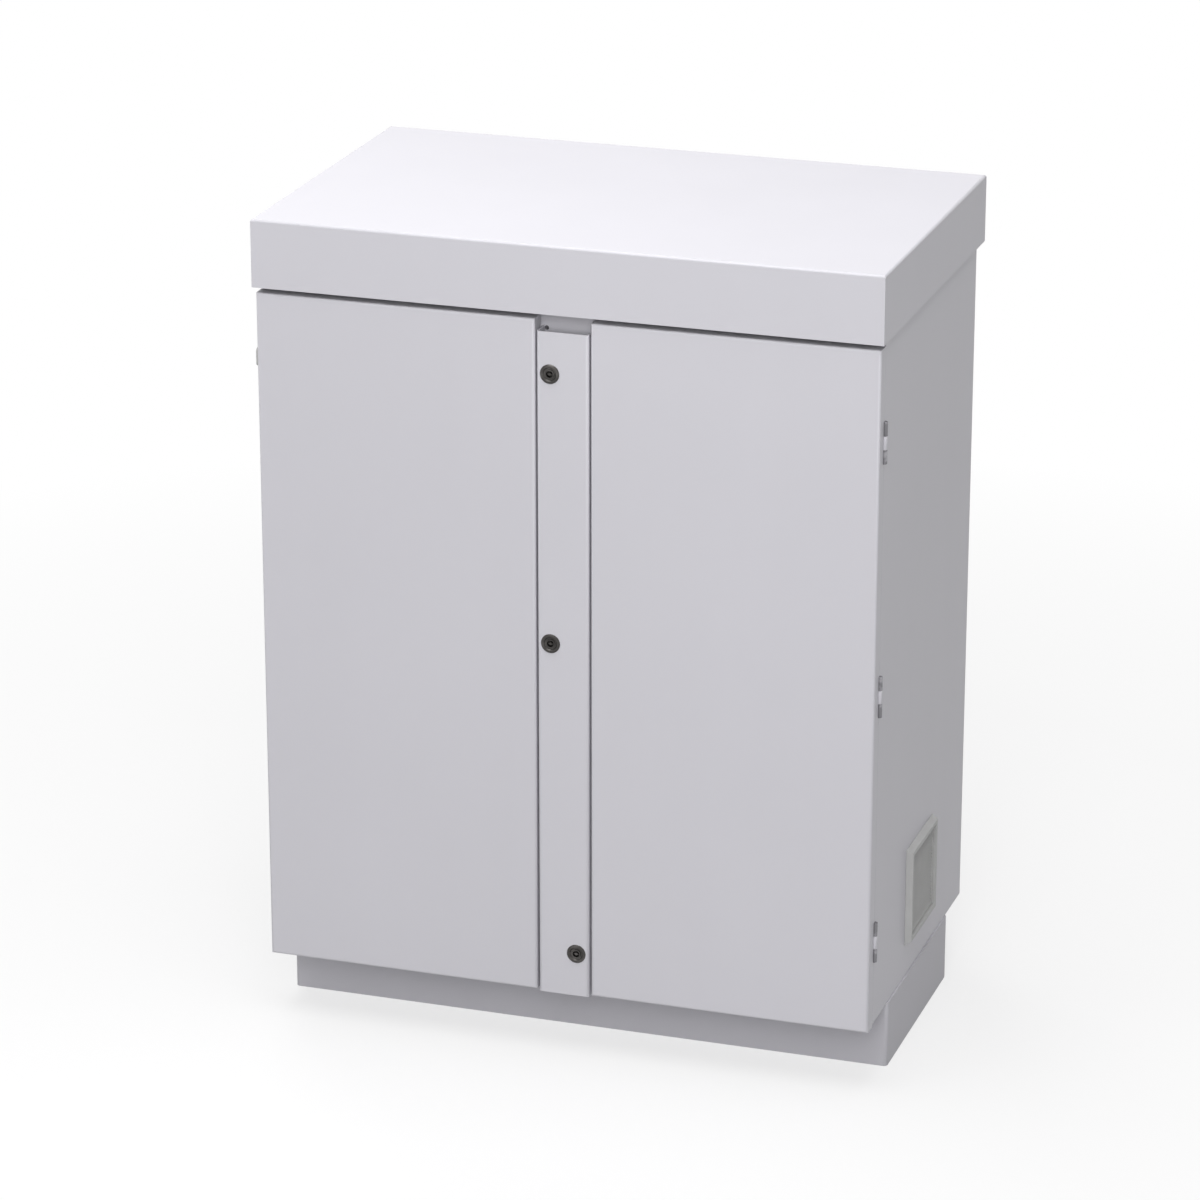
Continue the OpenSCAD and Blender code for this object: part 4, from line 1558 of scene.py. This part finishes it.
@dataclass
class Studio:
    """Pale floor, white surroundings, soft lamps and the camera."""

    camera_place: Point = (2.0713, -6.3902, 3.0018)
    camera_pitch: float = math.radians(19.673)
    camera_yaw: float = math.radians(18.232)
    lens: float = 148.12
    sensor: float = 36.0
    farthest: float = 100.0
    white: tuple[float, float, float, float] = (1.0, 1.0, 1.0, 1.0)
    floor_half: float = 30.0
    floor_drop: float = 0.4 * MM
    floor_seen: float = 0.9
    floor_bounce: float = 0.4
    floor_white: float = 2.6
    floor_glow: float = 0.65
    ambient: float = 0.352
    lamps: tuple[Lamp, ...] = (
        Lamp("overhead", (0.0, -0.8, 4.2), 3.0, 95.0),
        Lamp("front", (1.3, -5.3, 2.8), 3.0, 158.0, mirrored=False),
        Lamp("behind", (-2.8, 3.6, 4.6), 3.0, 64.0),
    )

    def build(self) -> None:
        """Sets up the whole studio."""
        self.build_floor()
        self.build_world()
        self.build_camera()
        for lamp in self.lamps:
            lamp.build()
        bpy.context.scene.view_settings.view_transform = "Standard"
        LOG.info("studio: %d lamps", len(self.lamps))

    def build_floor(self) -> None:
        """A wide pale floor that looks white and throws back less light than that."""
        half, low = self.floor_half, -self.floor_drop
        mesh = bpy.data.meshes.new("studio_floor")
        corners = [(-half, -half, low), (half, -half, low), (half, half, low), (-half, half, low)]
        mesh.from_pydata(corners, [], [(0, 1, 2, 3)])
        tree = FinishTree("studio_floor")
        seen = tree.in_view()
        bounce = (self.floor_bounce,) * 3 + (1.0,)
        pale = (self.floor_seen,) * 3 + (1.0,)
        tree.surface(base_color=tree.blend(seen, bounce, pale), roughness=0.9)
        away = tree.out("ShaderNodeVectorMath", {0: tree.place}, {"operation": "LENGTH"}, "Value")
        far = tree.sharpen(Value(tree, away) * (1.0 / self.floor_white), 0.5, 1.0)
        white = tree.node("ShaderNodeEmission", None, {"Strength": 1.0})
        glow = self.floor_glow + (1.0 - self.floor_glow) * far
        tree.show(glow * seen, tree.shader, white, "Material Output")
        mesh.materials.append(tree.material)
        floor = bpy.data.objects.new("studio_floor", mesh)
        bpy.context.scene.collection.objects.link(floor)

    def build_world(self) -> None:
        """Surroundings that look white and light the cabinet softly."""
        world = bpy.data.worlds.new("studio_world")
        bpy.context.scene.world = world
        world.use_nodes = True
        tree = ShaderTree(world.node_tree)
        soft = world.node_tree.nodes["Background"]
        tree.feed(soft.inputs["Color"], self.white)
        tree.feed(soft.inputs["Strength"], self.ambient)
        white = tree.node("ShaderNodeBackground", None, {"Color": self.white, "Strength": 1.0})
        tree.show(tree.in_view(), soft, white, "World Output")

    def build_camera(self) -> None:
        """The camera at the photograph's place and angle."""
        data = bpy.data.cameras.new("camera")
        data.lens = self.lens
        data.sensor_width = self.sensor
        data.clip_end = self.farthest
        camera = bpy.data.objects.new("camera", data)
        camera.location = self.camera_place
        camera.rotation_euler = (math.pi / 2 - self.camera_pitch, 0.0, self.camera_yaw)
        bpy.context.scene.collection.objects.link(camera)
        bpy.context.scene.camera = camera


def main() -> None:
    """Dresses the cabinet, piece by piece, and sets up the studio."""
    logging.basicConfig(level=logging.INFO, format="%(name)s: %(message)s")
    SheetWork().dress()
    Fasteners().build()
    Locks().build()
    Hinges().build()
    Seals().build()
    Vent().build()
    Glands().build()
    DoorWelds().build()
    Studio().build()


if __name__ == "__main__":
    main()
